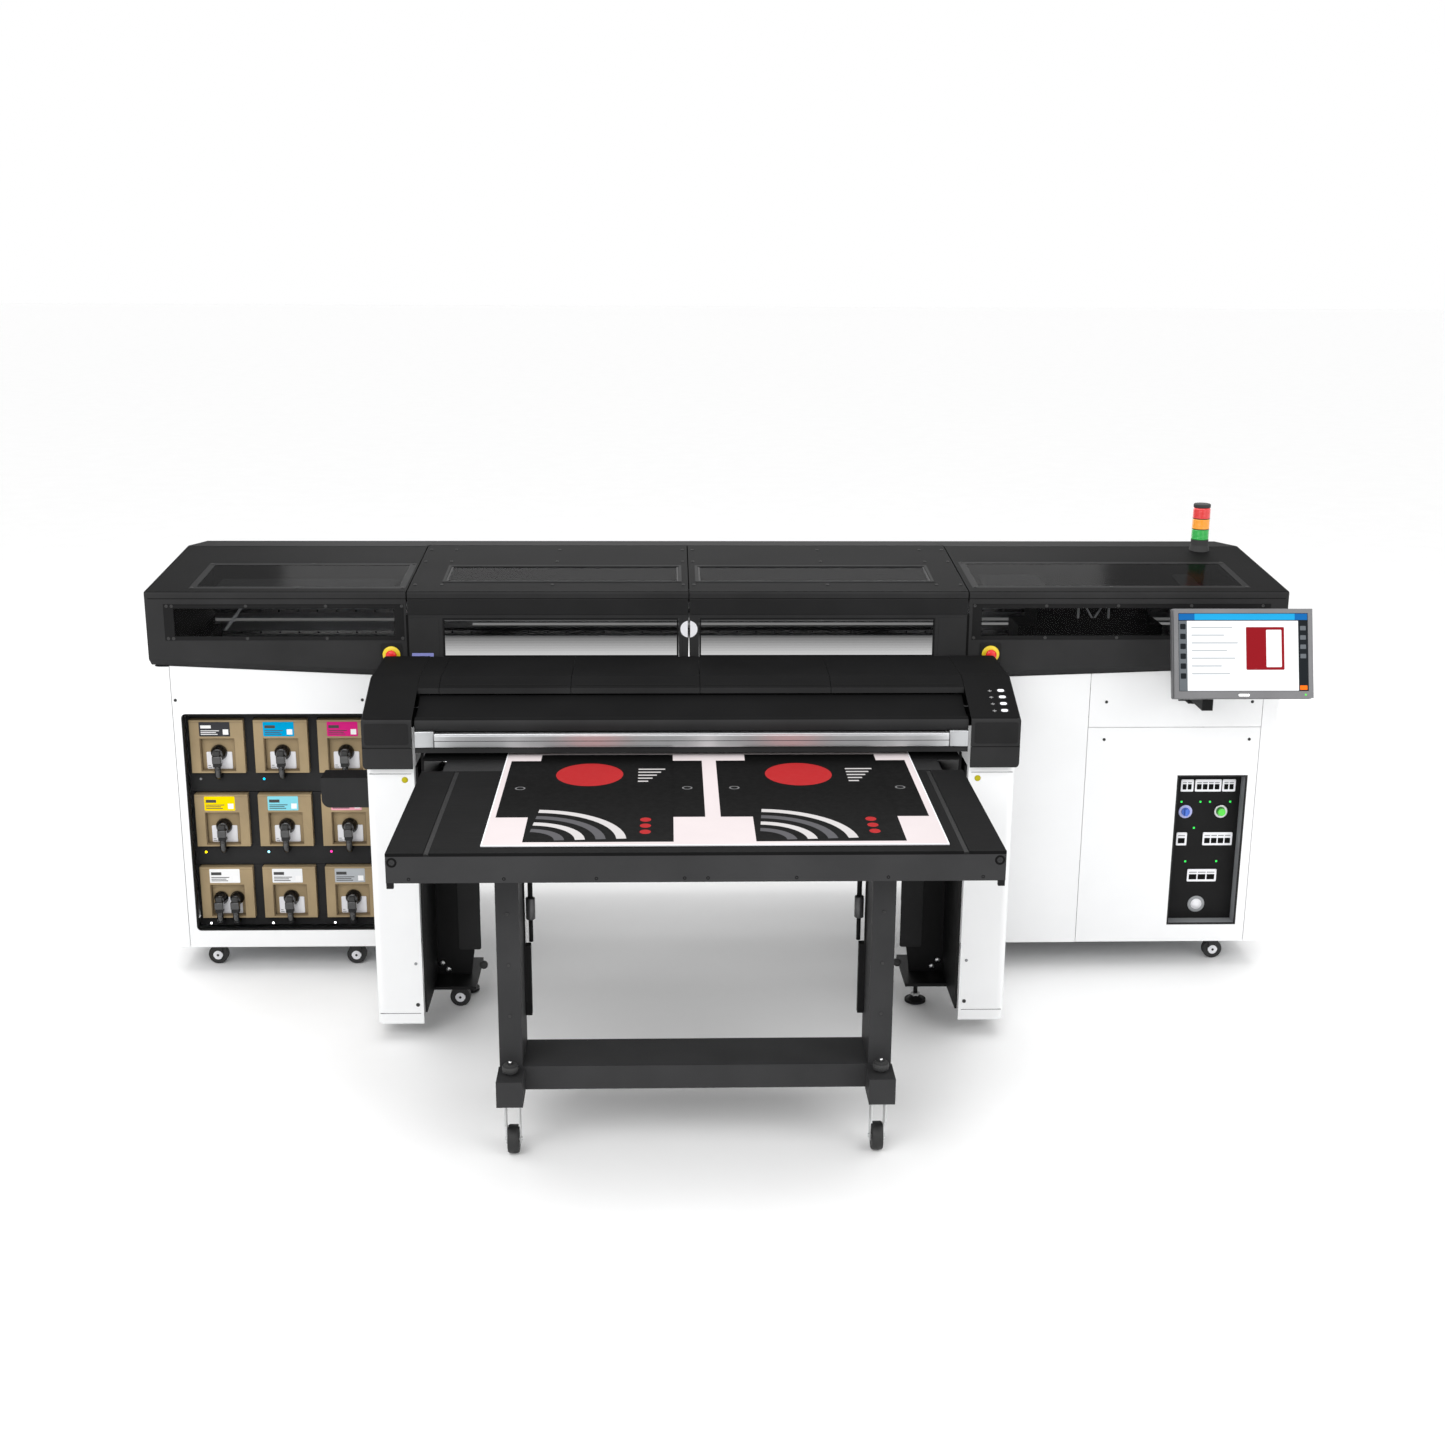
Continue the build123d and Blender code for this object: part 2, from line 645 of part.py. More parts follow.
# ---------------------------------------------------------------- connection panel
switch_x, start_x, knob_z = 1951.0, 2092.0, 628.0
knob_stem = 6.0
outlets = (
    (1950, 736, 50, 50), (2033, 736, 104, 50), (2115, 736, 52, 50),
    (1943, 515, 42, 54), (2086, 515, 118, 54), (2035, 362, 117, 52),
)
reveal_t = 3.0  # sheet round the recess
with BuildPart() as electrical_panel:
    slab(panel_x0 + 1, panel_x1 - 1, panel_back, panel_back + sheet, panel_z0 + 1, panel_z1 - 1)
    reveal = (sheet, panel_back - joint)  # depth of the four walls in front of the back plate
    for wall_x in (panel_x0 + 1, panel_x1 - 1 - reveal_t):
        slab(wall_x, wall_x + reveal_t, *reveal, panel_z0 + 1, panel_z1 - 1)
    for wall_z in (panel_z0 + 1, panel_z1 - 1 - reveal_t):
        slab(
            panel_x0 + 1 + reveal_t + joint, panel_x1 - 1 - reveal_t - joint, *reveal, wall_z, wall_z + reveal_t,
        )
    for outlet_x, outlet_z, width, height in outlets:
        slab(
            outlet_x - width / 2, outlet_x + width / 2,
            panel_back - 5, panel_back, outlet_z - height / 2, outlet_z + height / 2,
        )
    rod("Y", 34, panel_back - 2, panel_back, 2022, 240)
    for knob_x in (switch_x, start_x):
        rod("Y", 20, panel_back - 3, panel_back, knob_x, knob_z)
        rod("Y", knob_stem + running, panel_back - 5, panel_back + 18, knob_x, knob_z, Mode.SUBTRACT)
electrical_panel.part.label = "electrical_panel"
export_step(electrical_panel.part, "parts/electrical_panel.step")

with BuildPart() as main_switch:
    rod("Y", 16, panel_back - 11, panel_back - 4, switch_x, knob_z)
    slab(
        switch_x - 5, switch_x + 5,
        panel_back - 22, panel_back - 11, knob_z - 14, knob_z + 14,
    )
    rod("Y", knob_stem, panel_back - 5, panel_back + 10, switch_x, knob_z)
main_switch.part.label = "main_switch"
export_step(main_switch.part, "parts/main_switch.step")

with BuildPart() as start_button:
    rod("Y", 15, panel_back - 18, panel_back - 9, start_x, knob_z)
    fillet(start_button.faces().sort_by(Axis.Y)[0].edges(), 2)
    rod("Y", knob_stem, panel_back - 10, panel_back + 10, start_x, knob_z)
start_button.part.label = "start_button"
export_step(start_button.part, "parts/start_button.step")

# ---------------------------------------------------------------- output unit
tower_in, tower_out = 790.0, 955.0
tower_low, tower_high = 100.0, 899.0
tower_toe = 830.0  # the cross plate narrows to this at the floor
with BuildPart() as front_towers:
    for sign in (1, -1):
        slab(sign * tower_out, sign * (tower_out + 8), -618, -217, tower_low, 1025)
        with BuildSketch(front(-290)):
            with BuildLine():
                Polyline(
                    (sign * tower_out, tower_low),
                    (sign * tower_toe, tower_low),
                    (sign * tower_in, 400),
                    (sign * tower_in, tower_high),
                    (sign * tower_out, tower_high),
                    close=True,
                )
            make_face()
        extrude(amount=8)
        for plate_z in ((tower_low, tower_low + 12), (tower_high - 7, tower_high + 1)):
            slab(sign * (tower_in + 10), sign * tower_out, -420, -140, *plate_z)
front_towers.part.label = "front_towers"
export_step(front_towers.part, "parts/front_towers.step")

leg_in, leg_out, leg_r = 967.0, 1133.0, 28.0
leg_z0, leg_z1 = 60.0, 1027.0
leg_front = -626.0
with BuildPart() as leg_panels:
    with BuildSketch(level(leg_z0)):
        for sign, way in ((1, Side.LEFT), (-1, Side.RIGHT)):
            with BuildLine():
                FilletPolyline(
                    (sign * leg_in, leg_front),
                    (sign * leg_out, leg_front),
                    (sign * leg_out, unit_rear),
                    radius=leg_r,
                )
                offset(amount=sheet, side=way)
            make_face()
    extrude(amount=leg_z1 - leg_z0)
leg_panels.part.label = "leg_panels"
export_step(leg_panels.part, "parts/leg_panels.step")

cap_seam_z = 1105.0
cap_low_z = 1029.0
cap_knee_y, cap_nose_z = -410.0, 1203.0


def cap_section(inset, low_z):
    """Side outline of an end cap, drawn in by inset."""
    return [
        (unit_rear - inset, low_z),
        (unit_rear - inset, unit_top - inset),
        (cap_knee_y - inset * 0.2, unit_top - inset),
        (unit_front + inset, cap_nose_z - inset * 0.7),
        (unit_front + inset, low_z),
    ]


def end_cap(sign):
    """Moulded cap over one leg: open below and towards the print zone, split at a seam."""
    with BuildPart() as block:
        with BuildSketch(side(sign * cap_in)):
            with BuildLine():
                Polyline(*cap_section(0, cap_low_z), close=True)
            make_face()
        extrude(amount=sign * (cap_out - cap_in))
        outer = block.faces().sort_by(Axis.X)[-1 if sign > 0 else 0]
        fillet(outer.edges(), 16)
        noses = block.edges().filter_by(Axis.X).group_by(Axis.Y)[0].sort_by(Axis.Z)[-1]
        fillet(noses, 20)
    with BuildPart() as hollow:
        with BuildSketch(side(sign * (cap_in - 1))):
            with BuildLine():
                Polyline(*cap_section(wall, cap_low_z - 1), close=True)
            make_face()
        extrude(amount=sign * (cap_out - cap_in - wall + 1))
        fillet(hollow.faces().sort_by(Axis.X)[-1 if sign > 0 else 0].edges().sort_by(Axis.Z)[1:], 10)
    with BuildPart() as cap:
        add(block.part)
        add(hollow.part, mode=Mode.SUBTRACT)
        slab(
            sign * (cap_in - 5), sign * (cap_out + 5), unit_front - 5, unit_rear + 5,
            cap_seam_z - 1, cap_seam_z + 1, Mode.SUBTRACT,
        )
    return cap


skin_t = 4.0
lip_y, lip_z = -482.0, 1272.0
cover_edges = (-889.0, -427.0, 28.0, 491.0, 964.0)


def cover_skin(x0, x1):
    """One output cover skin: flat top that bends down to the front lip."""
    with BuildPart() as skin:
        with BuildSketch(side(x0)):
            with BuildLine():
                Polyline(
                    (unit_rear - 3, unit_top - 2),
                    (cap_knee_y, unit_top - 2),
                    (lip_y, lip_z),
                    (lip_y, lip_z - 20),
                    (lip_y + skin_t, lip_z - 20),
                    (lip_y + skin_t, lip_z - 3),
                    (cap_knee_y + 1, unit_top - 2 - skin_t),
                    (unit_rear - 3, unit_top - 2 - skin_t),
                    close=True,
                )
            make_face()
        extrude(amount=x1 - x0)
    return skin


left_cap = end_cap(-1)
right_cap = end_cap(1)
filler = cover_skin(-cap_in + 1, cover_edges[0] - gap)
with BuildPart() as end_caps:
    add(left_cap.part)
    add(right_cap.part)
    add(filler.part)
end_caps.part.label = "end_caps"
export_step(end_caps.part, "parts/end_caps.step")

hinge_y, hinge_z = -118.0, 1288.5  # axis of the output cover
hinge_pin_r, knuckle_r, knuckle_w = 3.5, 6.0, 40.0
hinge_xs = [(x0 + x1) / 2 for x0, x1 in zip(cover_edges, cover_edges[1:])]
with BuildPart() as output_cover:
    for x0, x1 in zip(cover_edges, cover_edges[1:]):
        skin = cover_skin(x0 + gap, x1 - gap)
        add(skin.part)
    for hinge_x in hinge_xs:
        rod("X", knuckle_r, hinge_x, hinge_x + knuckle_w, hinge_y, hinge_z)
    with BuildSketch(side(cover_edges[0] + 20)):
        with Locations((-300, unit_top - 2 - skin_t - 5)):
            Rectangle(60, 10)
    extrude(amount=cover_edges[-1] - cover_edges[0] - 40)
    for hinge_x in hinge_xs:
        bore = (hinge_x - 1, hinge_x + knuckle_w + 1)
        rod("X", hinge_pin_r + running, *bore, hinge_y, hinge_z, Mode.SUBTRACT)
output_cover.part.label = "output_cover"
export_step(output_cover.part, "parts/output_cover.step")

bar_r = 25.0
bar_y, bar_z = -620.0, 1178.0
bar_half = 957.0
with BuildPart() as front_guide:
    rod("X", bar_r, -bar_half, bar_half, bar_y, bar_z)
    with BuildSketch(side(-bar_half)):
        with BuildLine():
            guide = ThreePointArc((lip_y + 8, lip_z - 28), (-536, 1214), (bar_y + 14, bar_z + 20))
            Line(guide @ 1, (bar_y + 14, bar_z + 14))
            under = ThreePointArc(
                (bar_y + 14, bar_z + 14), (-536, 1208), (lip_y + 8, lip_z - 34)
            )
            Line(under @ 1, guide @ 0)
        make_face()
    extrude(amount=2 * bar_half)
    slab(-bar_half, bar_half, -650, -630, 1084, 1104)
front_guide.part.label = "front_guide"
export_step(front_guide.part, "parts/front_guide.step")

with BuildPart() as front_bar:
    slab(-bar_half, bar_half, -658, -632, 1105, 1153)
    chamfer(front_bar.edges().filter_by(Axis.X).group_by(Axis.Y)[0], 5)
front_bar.part.label = "front_bar"
export_step(front_bar.part, "parts/front_bar.step")

module_top = 1236.0
with BuildPart() as curing_module:
    slab(-930, 930, -470, unit_rear - 10, 1112, module_top)
    slab(-900, 900, -440, -150, 1102, 1112)
    for hinge_x in hinge_xs:
        ear = (hinge_x - 12, hinge_x - 2)
        slab(*ear, hinge_y - 8, hinge_y + 2, module_top - 30, hinge_z + 3)
        slab(*ear, hinge_y - 30, unit_rear - 2, module_top - 30, module_top + 10)
        rod("X", hinge_pin_r, hinge_x - 4, hinge_x + knuckle_w, hinge_y, hinge_z)
curing_module.part.label = "curing_module"
export_step(curing_module.part, "parts/curing_module.step")

with BuildPart() as junction_box:
    slab(-1316, -leg_out - 1, -500, -400, 839, 949)
    lower_edge = junction_box.edges().filter_by(Axis.Y).group_by(Axis.X)[0].sort_by(Axis.Z)[0]
    fillet(lower_edge, 30)
junction_box.part.label = "junction_box"
export_step(junction_box.part, "parts/junction_box.step")

# ---------------------------------------------------------------- feet and cabinet casters
rear_foot_y = 860.0
feet = (
    (853, -322), (-853, -190), (-1940, rear_foot_y), (-1110, rear_foot_y),
    (1110, rear_foot_y), (2200, rear_foot_y),
)
with BuildPart() as levelling_feet:
    for foot_x, foot_y in feet:
        rod("Z", 40, 0, 10, foot_x, foot_y)
        with Locations(spot(foot_x, foot_y, 18)):
            Cone(30, 14, 16)
        rod("Z", 8, 20, 100 if foot_y < 0 else floor_gap, foot_x, foot_y)
        rod("Z", 14, 78, 90, foot_x, foot_y)
levelling_feet.part.label = "levelling_feet"
export_step(levelling_feet.part, "parts/levelling_feet.step")

wheel_r = 38.0
casters = ((-1874, 94, floor_gap), (-1326, 86, floor_gap), (2109, 90, floor_gap), (-869, -330, 100))
with BuildPart() as cabinet_casters:
    for caster_x, caster_y, top_z in casters:
        slab(caster_x - 32, caster_x + 32, caster_y - 30, caster_y + 30, top_z - 5, top_z)
        slab(caster_x - 22, caster_x + 22, caster_y - 22, caster_y + 22, top_z - 17, top_z - 5)
        for cheek_y in (caster_y - 19, caster_y + 15):
            slab(caster_x - 17, caster_x + 17, cheek_y, cheek_y + 4, wheel_r - 12, top_z - 17)
        rod("Y", 5, caster_y - 21, caster_y + 21, caster_x, wheel_r)
        rod("Y", wheel_r, caster_y - 13, caster_y + 13, caster_x, wheel_r)
cabinet_casters.part.label = "cabinet_casters"
export_step(cabinet_casters.part, "parts/cabinet_casters.step")

# ---------------------------------------------------------------- signal beacon
beacon_x, beacon_y = 2083.0, 585.0
beacon_z0 = 1570.0
lens_z = (1622.0, 1664.0, 1708.0, 1752.0)
with BuildPart() as beacon_base:
    with Locations(spot(beacon_x, beacon_y, (beacon_z0 + 1598) / 2)):
        Cone(42, 36, 1598 - beacon_z0)
    split(bisect_by=lid_plane, keep=Keep.TOP)
    rod("Z", 35, 1598, lens_z[0] - 0.5, beacon_x, beacon_y)
    rod("Z", 34, lens_z[3] + 0.5, 1767, beacon_x, beacon_y)
    fillet(beacon_base.faces().sort_by(Axis.Z)[-1].edges(), 5)
beacon_base.part.label = "beacon_base"
export_step(beacon_base.part, "parts/beacon_base.step")

with BuildPart() as beacon_lenses:
    for low, high in zip(lens_z, lens_z[1:]):
        rod("Z", 34.5, low, high - 1.5, beacon_x, beacon_y)
beacon_lenses.part.label = "beacon_lenses"
export_step(beacon_lenses.part, "parts/beacon_lenses.step")

# ---------------------------------------------------------------- monitor and its arm
pivot_y = -62.0  # upright pivot of the arm
tilt_y, tilt_z = -236.0, 1342.0  # level pivot of the monitor
pin_r = 8.0
with BuildPart() as monitor_bracket:
    slab(arm_x - 38, arm_x + 38, -8, 0, 1096, 1186)
    for ear_z in (1104.0, 1166.0):
        slab(arm_x - 22, arm_x + 22, pivot_y - 20, -8, ear_z, ear_z + 12)
    rod("Z", pin_r, 1100, 1182, arm_x, pivot_y)
monitor_bracket.part.label = "monitor_bracket"
export_step(monitor_bracket.part, "parts/monitor_bracket.step")

with BuildPart() as monitor_arm:
    rod("Z", 20, 1117, 1165, arm_x, pivot_y)
    slab(arm_x - 20, arm_x + 20, tilt_y - 16, pivot_y, 1122, 1160)
    slab(arm_x - 20, arm_x + 20, tilt_y - 16, tilt_y + 16, 1160, tilt_z)
    rod("X", 16, arm_x - 20, arm_x + 20, tilt_y, tilt_z)
    rod("X", pin_r, arm_x - 44, arm_x + 44, tilt_y, tilt_z)
    rod("Z", pin_r + running, 1110, 1170, arm_x, pivot_y, Mode.SUBTRACT)
monitor_arm.part.label = "monitor_arm"
export_step(monitor_arm.part, "parts/monitor_arm.step")

tilt = math.radians(monitor_tilt)
screen_plane = Plane(
    origin=(print_x + monitor_x, face_y + monitor_y, monitor_z),
    x_dir=(1, 0, 0),
    z_dir=(0, -math.cos(tilt), math.sin(tilt)),
)
with BuildPart() as monitor:
    with BuildSketch(screen_plane.offset(-monitor_t)):
        RectangleRounded(monitor_w, monitor_h, 8)
    extrude(amount=monitor_t)
    chamfer(monitor.faces().sort_by(Axis.Y)[-1].edges(), 4)
    with BuildSketch(screen_plane.offset(-monitor_t - 14)):
        with Locations((arm_x - monitor_x, 0)):
            Rectangle(110, 100)
    extrude(amount=15)
    for ear_x in (arm_x - 42, arm_x + 22):
        rod("X", 15, ear_x, ear_x + 20, tilt_y, tilt_z)
        slab(ear_x, ear_x + 20, tilt_y - 34, tilt_y, tilt_z - 13, tilt_z + 13)
    rod("X", pin_r + running, arm_x - 60, arm_x + 60, tilt_y, tilt_z, Mode.SUBTRACT)
monitor.part.label = "monitor"
export_step(monitor.part, "parts/monitor.step")

# ---------------------------------------------------------------- output table
beam_z0 = 975.0
deck_t = 6.0
with BuildPart() as table_top:
    slab(-table_half, table_half, table_front, table_back, media_z - deck_t, media_z)
    slab(-845, 845, table_back, unit_front - 16, media_z - deck_t, media_z)
    slab(-table_half, table_half, table_front, table_front + 25, beam_z0, media_z - deck_t)
    for x0, x1 in mirrored_pair(table_half - 20, table_half):
        slab(x0, x1, table_front + 25, table_back, beam_z0, media_z - deck_t)
    slab(-table_half + 20, table_half - 20, table_back - 20, table_back, beam_z0, media_z - deck_t)
    chamfer(table_top.edges().filter_by(Axis.X).group_by(Axis.Y)[0], 4)
    for groove_x in (-803, 788):
        slab(groove_x, groove_x + 15, table_front + 60, table_back + 2, media_z - 3, media_z + 1,
             Mode.SUBTRACT)
table_top.part.label = "table_top"
export_step(table_top.part, "parts/table_top.step")

leg_y0, leg_y1 = -1465.0, -1270.0
cross_z0, cross_z1 = 219.0, 298.0
foot_y = -1576.0
fork_x, fork_y, fork_top = 577.0, -1500.0, 213.0
with BuildPart() as table_legs:
    for x0, x1 in mirrored_pair(leg_x0, leg_x1):
        slab(x0, x1, leg_y0, leg_y1, cross_z0, media_z - deck_t)
    slab(-leg_x0, leg_x0, leg_y0, leg_y1, cross_z0, cross_z1)
    for x0, x1 in mirrored_pair(536, 618):
        slab(x0, x1, foot_y, leg_y0, fork_top, cross_z1)
        rod("Z", 9, cross_z1, cross_z1 + 40, (x0 + x1) / 2, -1520)
        rod("Z", 24, cross_z1 + 12, cross_z1 + 34, (x0 + x1) / 2, -1520)
table_legs.part.label = "table_legs"
export_step(table_legs.part, "parts/table_legs.step")

fork_wheel_r, fork_wheel_w, trail = 45.0, 36.0, 42.0
stem_r = 11.0
for sign, label in ((-1, "left"), (1, "right")):
    x = sign * fork_x
    with BuildPart() as fork:
        rod("Z", 26, fork_top - 12, fork_top - 0.5, x, fork_y)
        slab(x - 24, x + 24, fork_y - 24, fork_y + trail + 12, fork_top - 22, fork_top - 12)
        for cheek_x in (x - 24, x + 20):
            slab(cheek_x, cheek_x + 4, fork_y - 6, fork_y + trail + 12, 112, fork_top - 22)
            slab(cheek_x, cheek_x + 4, fork_y + trail - 14, fork_y + trail + 12, 34, 112)
        rod("X", 6, x - 27, x + 27, fork_y + trail, fork_wheel_r)
    fork.part.label = f"{label}_fork"
    export_step(fork.part, f"parts/{label}_fork.step")
    with BuildPart() as wheel:
        rod("X", fork_wheel_r, x - fork_wheel_w / 2, x + fork_wheel_w / 2, fork_y + trail, fork_wheel_r)
        fillet(wheel.edges().filter_by(GeomType.CIRCLE), 6)
        rod("X", 6 + running, x - 30, x + 30, fork_y + trail, fork_wheel_r, Mode.SUBTRACT)
    wheel.part.label = f"{label}_wheel"
    export_step(wheel.part, f"parts/{label}_wheel.step")

# ---------------------------------------------------------------- the printed board
with BuildPart() as board:
    slab(-641, 753, -1586, -366, media_z + 0.5, media_z + 0.5 + board_t)
board.part.label = "board"
export_step(board.part, "parts/board.step")

# ---------------------------------------------------------------- screws on panels and covers
screw_r, screw_h = 6.0, 2.0
panel_screw_xz = (
    (-1944, 1104), (-1242, 1104), (1596, 1090), (2161, 1090), (1596, 940), (2161, 940),
)
window_screw_x = (-1943, -1924, -1651, -1356, -1075, 1068, 1339, 1611, 1888, 2160)
with BuildPart() as panel_screws:
    for screw_x, screw_z in panel_screw_xz:
        rod("Y", screw_r, -screw_h, 0, screw_x, screw_z)
    for screw_x in window_screw_x:
        for screw_z in (strip_z0 + 7.5, strip_z1 - 8):
            y = lid_front_y + 0.5
            rod("Y", screw_r, y - screw_h, y, screw_x, screw_z)
    with BuildSketch(lid_plane.offset(-0.5)):
        for x0, x1, low, high in (left_top_window, right_top_window):
            with Locations(((x0 + x1) / 2, (low + high) / 2)):
                with GridLocations((x1 - x0) / 2 - 12, high - low - 24, 3, 2):
                    Circle(screw_r)
    extrude(amount=screw_h)
panel_screws.part.label = "panel_screws"
export_step(panel_screws.part, "parts/panel_screws.step")
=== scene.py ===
"""Looks of a wide hybrid flatbed printer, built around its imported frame.

Every piece is placed in metres in the frame's own axes. Sizes are given in millimetres from the
middle of the print zone, the front plane of the cabinets and the floor, as a maker would measure.
"""

import logging
import math
from dataclasses import dataclass, field
from enum import Enum
from typing import Callable, Iterable, Sequence

import bmesh
import bpy
from mathutils import Matrix, Vector


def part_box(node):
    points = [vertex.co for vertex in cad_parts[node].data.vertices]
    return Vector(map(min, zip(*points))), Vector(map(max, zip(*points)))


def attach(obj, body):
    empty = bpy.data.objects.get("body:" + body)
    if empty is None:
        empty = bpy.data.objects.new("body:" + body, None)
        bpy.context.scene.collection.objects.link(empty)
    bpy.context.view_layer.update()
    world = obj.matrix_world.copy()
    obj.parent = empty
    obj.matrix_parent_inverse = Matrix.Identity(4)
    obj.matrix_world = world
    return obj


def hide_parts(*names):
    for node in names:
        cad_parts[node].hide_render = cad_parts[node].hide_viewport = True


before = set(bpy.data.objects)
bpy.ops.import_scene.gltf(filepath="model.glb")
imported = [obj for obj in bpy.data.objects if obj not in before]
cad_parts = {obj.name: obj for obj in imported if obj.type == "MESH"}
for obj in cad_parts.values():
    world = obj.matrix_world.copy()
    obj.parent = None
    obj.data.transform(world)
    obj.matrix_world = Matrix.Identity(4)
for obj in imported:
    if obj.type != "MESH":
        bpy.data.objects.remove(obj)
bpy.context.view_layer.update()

log = logging.getLogger("printer")

MM = 0.001
PRINT_X = (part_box("front_bar")[0].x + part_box("front_bar")[1].x) / 2
FACE_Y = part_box("right_panels")[0].y
LID_NORMAL = 0.75  # a face whose normal rises above this counts as level

Profile = Sequence[tuple[float, float]]
Box = tuple[float, float, float, float]


def place(x: float, y: float, z: float) -> Vector:
    """Point in the frame's metres from millimetres off the print zone, cabinet front and floor."""
    return Vector((PRINT_X + x * MM, FACE_Y + y * MM, z * MM))


@dataclass(frozen=True)
class Span:
    """Where a frame node lies, in millimetres from the print zone, cabinet front and floor."""

    x0: float
    x1: float
    y0: float
    y1: float
    z0: float
    z1: float

    @staticmethod
    def of(node: str) -> "Span":
        """The span of one frame node.

        Args:
            node: the node's name.

        Returns:
            Its span.
        """
        low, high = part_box(node)
        return Span(
            (low.x - PRINT_X) / MM, (high.x - PRINT_X) / MM,
            (low.y - FACE_Y) / MM, (high.y - FACE_Y) / MM,
            low.z / MM, high.z / MM,
        )

    @property
    def mid_x(self) -> float:
        """Middle of the span across the machine."""
        return (self.x0 + self.x1) / 2

    @property
    def mid_y(self) -> float:
        """Middle of the span along the depth."""
        return (self.y0 + self.y1) / 2


# ------------------------------------------------------------------------------ finishes
class Grain(Enum):
    """How a surface is broken up close to."""

    MOULDED = "fine leather grain of a moulded cover"
    POWDER = "orange peel of powder coat"
    BRUSHED = "long scratches along the machine"
    FIBRE = "paper fibres of cardboard"
    RUBBER = "matt rubber"
    GLOSS = "almost smooth"


@dataclass(frozen=True)
class GrainRule:
    """Node settings of one grain: sizes are cycles per metre, depths are in metres."""

    scale: float
    depth: float
    stretch: tuple[float, float, float] = (1.0, 1.0, 1.0)
    cells: bool = False


GRAINS: dict[Grain, GrainRule] = {
    Grain.MOULDED: GrainRule(700.0, 0.00005, cells=True),
    Grain.POWDER: GrainRule(300.0, 0.00007),
    Grain.BRUSHED: GrainRule(900.0, 0.00006, (0.012, 1.0, 1.0)),
    Grain.FIBRE: GrainRule(260.0, 0.00018, (1.0, 1.0, 0.12)),
    Grain.RUBBER: GrainRule(420.0, 0.00014),
    Grain.GLOSS: GrainRule(60.0, 0.00001),
}


@dataclass(frozen=True)
class Finish:
    """One surface finish: a base colour, how it varies, and how it shines."""

    name: str
    colour: tuple[float, float, float]
    roughness: float
    grain: Grain
    metallic: float = 0.0
    drift: float = 0.12
    coat: float = 0.0
    alpha: float = 1.0
    glow: float = 0.0
    specular: float = 0.5

    def material(self) -> bpy.types.Material:
        """The finish as a node material, made once.

        Returns:
            The Blender material that carries this finish's name.
        """
        made = bpy.data.materials.get(self.name)
        if made is not None:
            return made
        material = bpy.data.materials.new(self.name)
        material.use_nodes = True
        shader = material.node_tree.nodes["Principled BSDF"]
        shader.inputs["Metallic"].default_value = self.metallic
        shader.inputs["Alpha"].default_value = self.alpha
        shader.inputs["Coat Weight"].default_value = self.coat
        shader.inputs["Coat Roughness"].default_value = 0.12
        shader.inputs["Specular IOR Level"].default_value = self.specular
        if self.glow:
            shader.inputs["Emission Color"].default_value = (*self.colour, 1.0)
            shader.inputs["Emission Strength"].default_value = self.glow
        self._wire(material.node_tree, shader)
        return material

    def _wire(self, tree: bpy.types.NodeTree, shader: bpy.types.Node) -> None:
        """Adds colour drift, roughness drift and grain to the shader.

        Args:
            tree: the material's node tree.
            shader: its Principled BSDF.
        """
        rule = GRAINS[self.grain]
        links = tree.links
        coordinates = tree.nodes.new("ShaderNodeTexCoord")
        mapping = tree.nodes.new("ShaderNodeMapping")
        mapping.inputs["Scale"].default_value = rule.stretch
        links.new(coordinates.outputs["Object"], mapping.inputs["Vector"])
        cloud = tree.nodes.new("ShaderNodeTexNoise")
        cloud.inputs["Scale"].default_value = 4.0
        cloud.inputs["Detail"].default_value = 4.0
        links.new(coordinates.outputs["Object"], cloud.inputs["Vector"])
        ramp = tree.nodes.new("ShaderNodeValToRGB")
        ramp.color_ramp.elements[0].position = 0.3
        ramp.color_ramp.elements[1].position = 0.7
        for element, side in zip(ramp.color_ramp.elements, (1 - self.drift, 1 + self.drift)):
            element.color = (*(min(1.0, c * side) for c in self.colour), 1.0)
        links.new(cloud.outputs["Fac"], ramp.inputs["Fac"])
        links.new(ramp.outputs["Color"], shader.inputs["Base Color"])
        fine = tree.nodes.new("ShaderNodeTexNoise")
        fine.inputs["Scale"].default_value = rule.scale
        fine.inputs["Detail"].default_value = 2.0
        links.new(mapping.outputs["Vector"], fine.inputs["Vector"])
        dull = tree.nodes.new("ShaderNodeMapRange")
        dull.inputs["To Min"].default_value = max(0.02, self.roughness * 0.82)
        dull.inputs["To Max"].default_value = min(1.0, self.roughness * 1.18)
        links.new(fine.outputs["Fac"], dull.inputs["Value"])
        links.new(dull.outputs["Result"], shader.inputs["Roughness"])
        height = fine.outputs["Fac"]
        if rule.cells:
            cell = tree.nodes.new("ShaderNodeTexVoronoi")
            cell.inputs["Scale"].default_value = rule.scale
            links.new(mapping.outputs["Vector"], cell.inputs["Vector"])
            height = cell.outputs["Distance"]
        bump = tree.nodes.new("ShaderNodeBump")
        bump.inputs["Strength"].default_value = 0.6
        bump.inputs["Distance"].default_value = rule.depth
        links.new(height, bump.inputs["Height"])
        links.new(bump.outputs["Normal"], shader.inputs["Normal"])


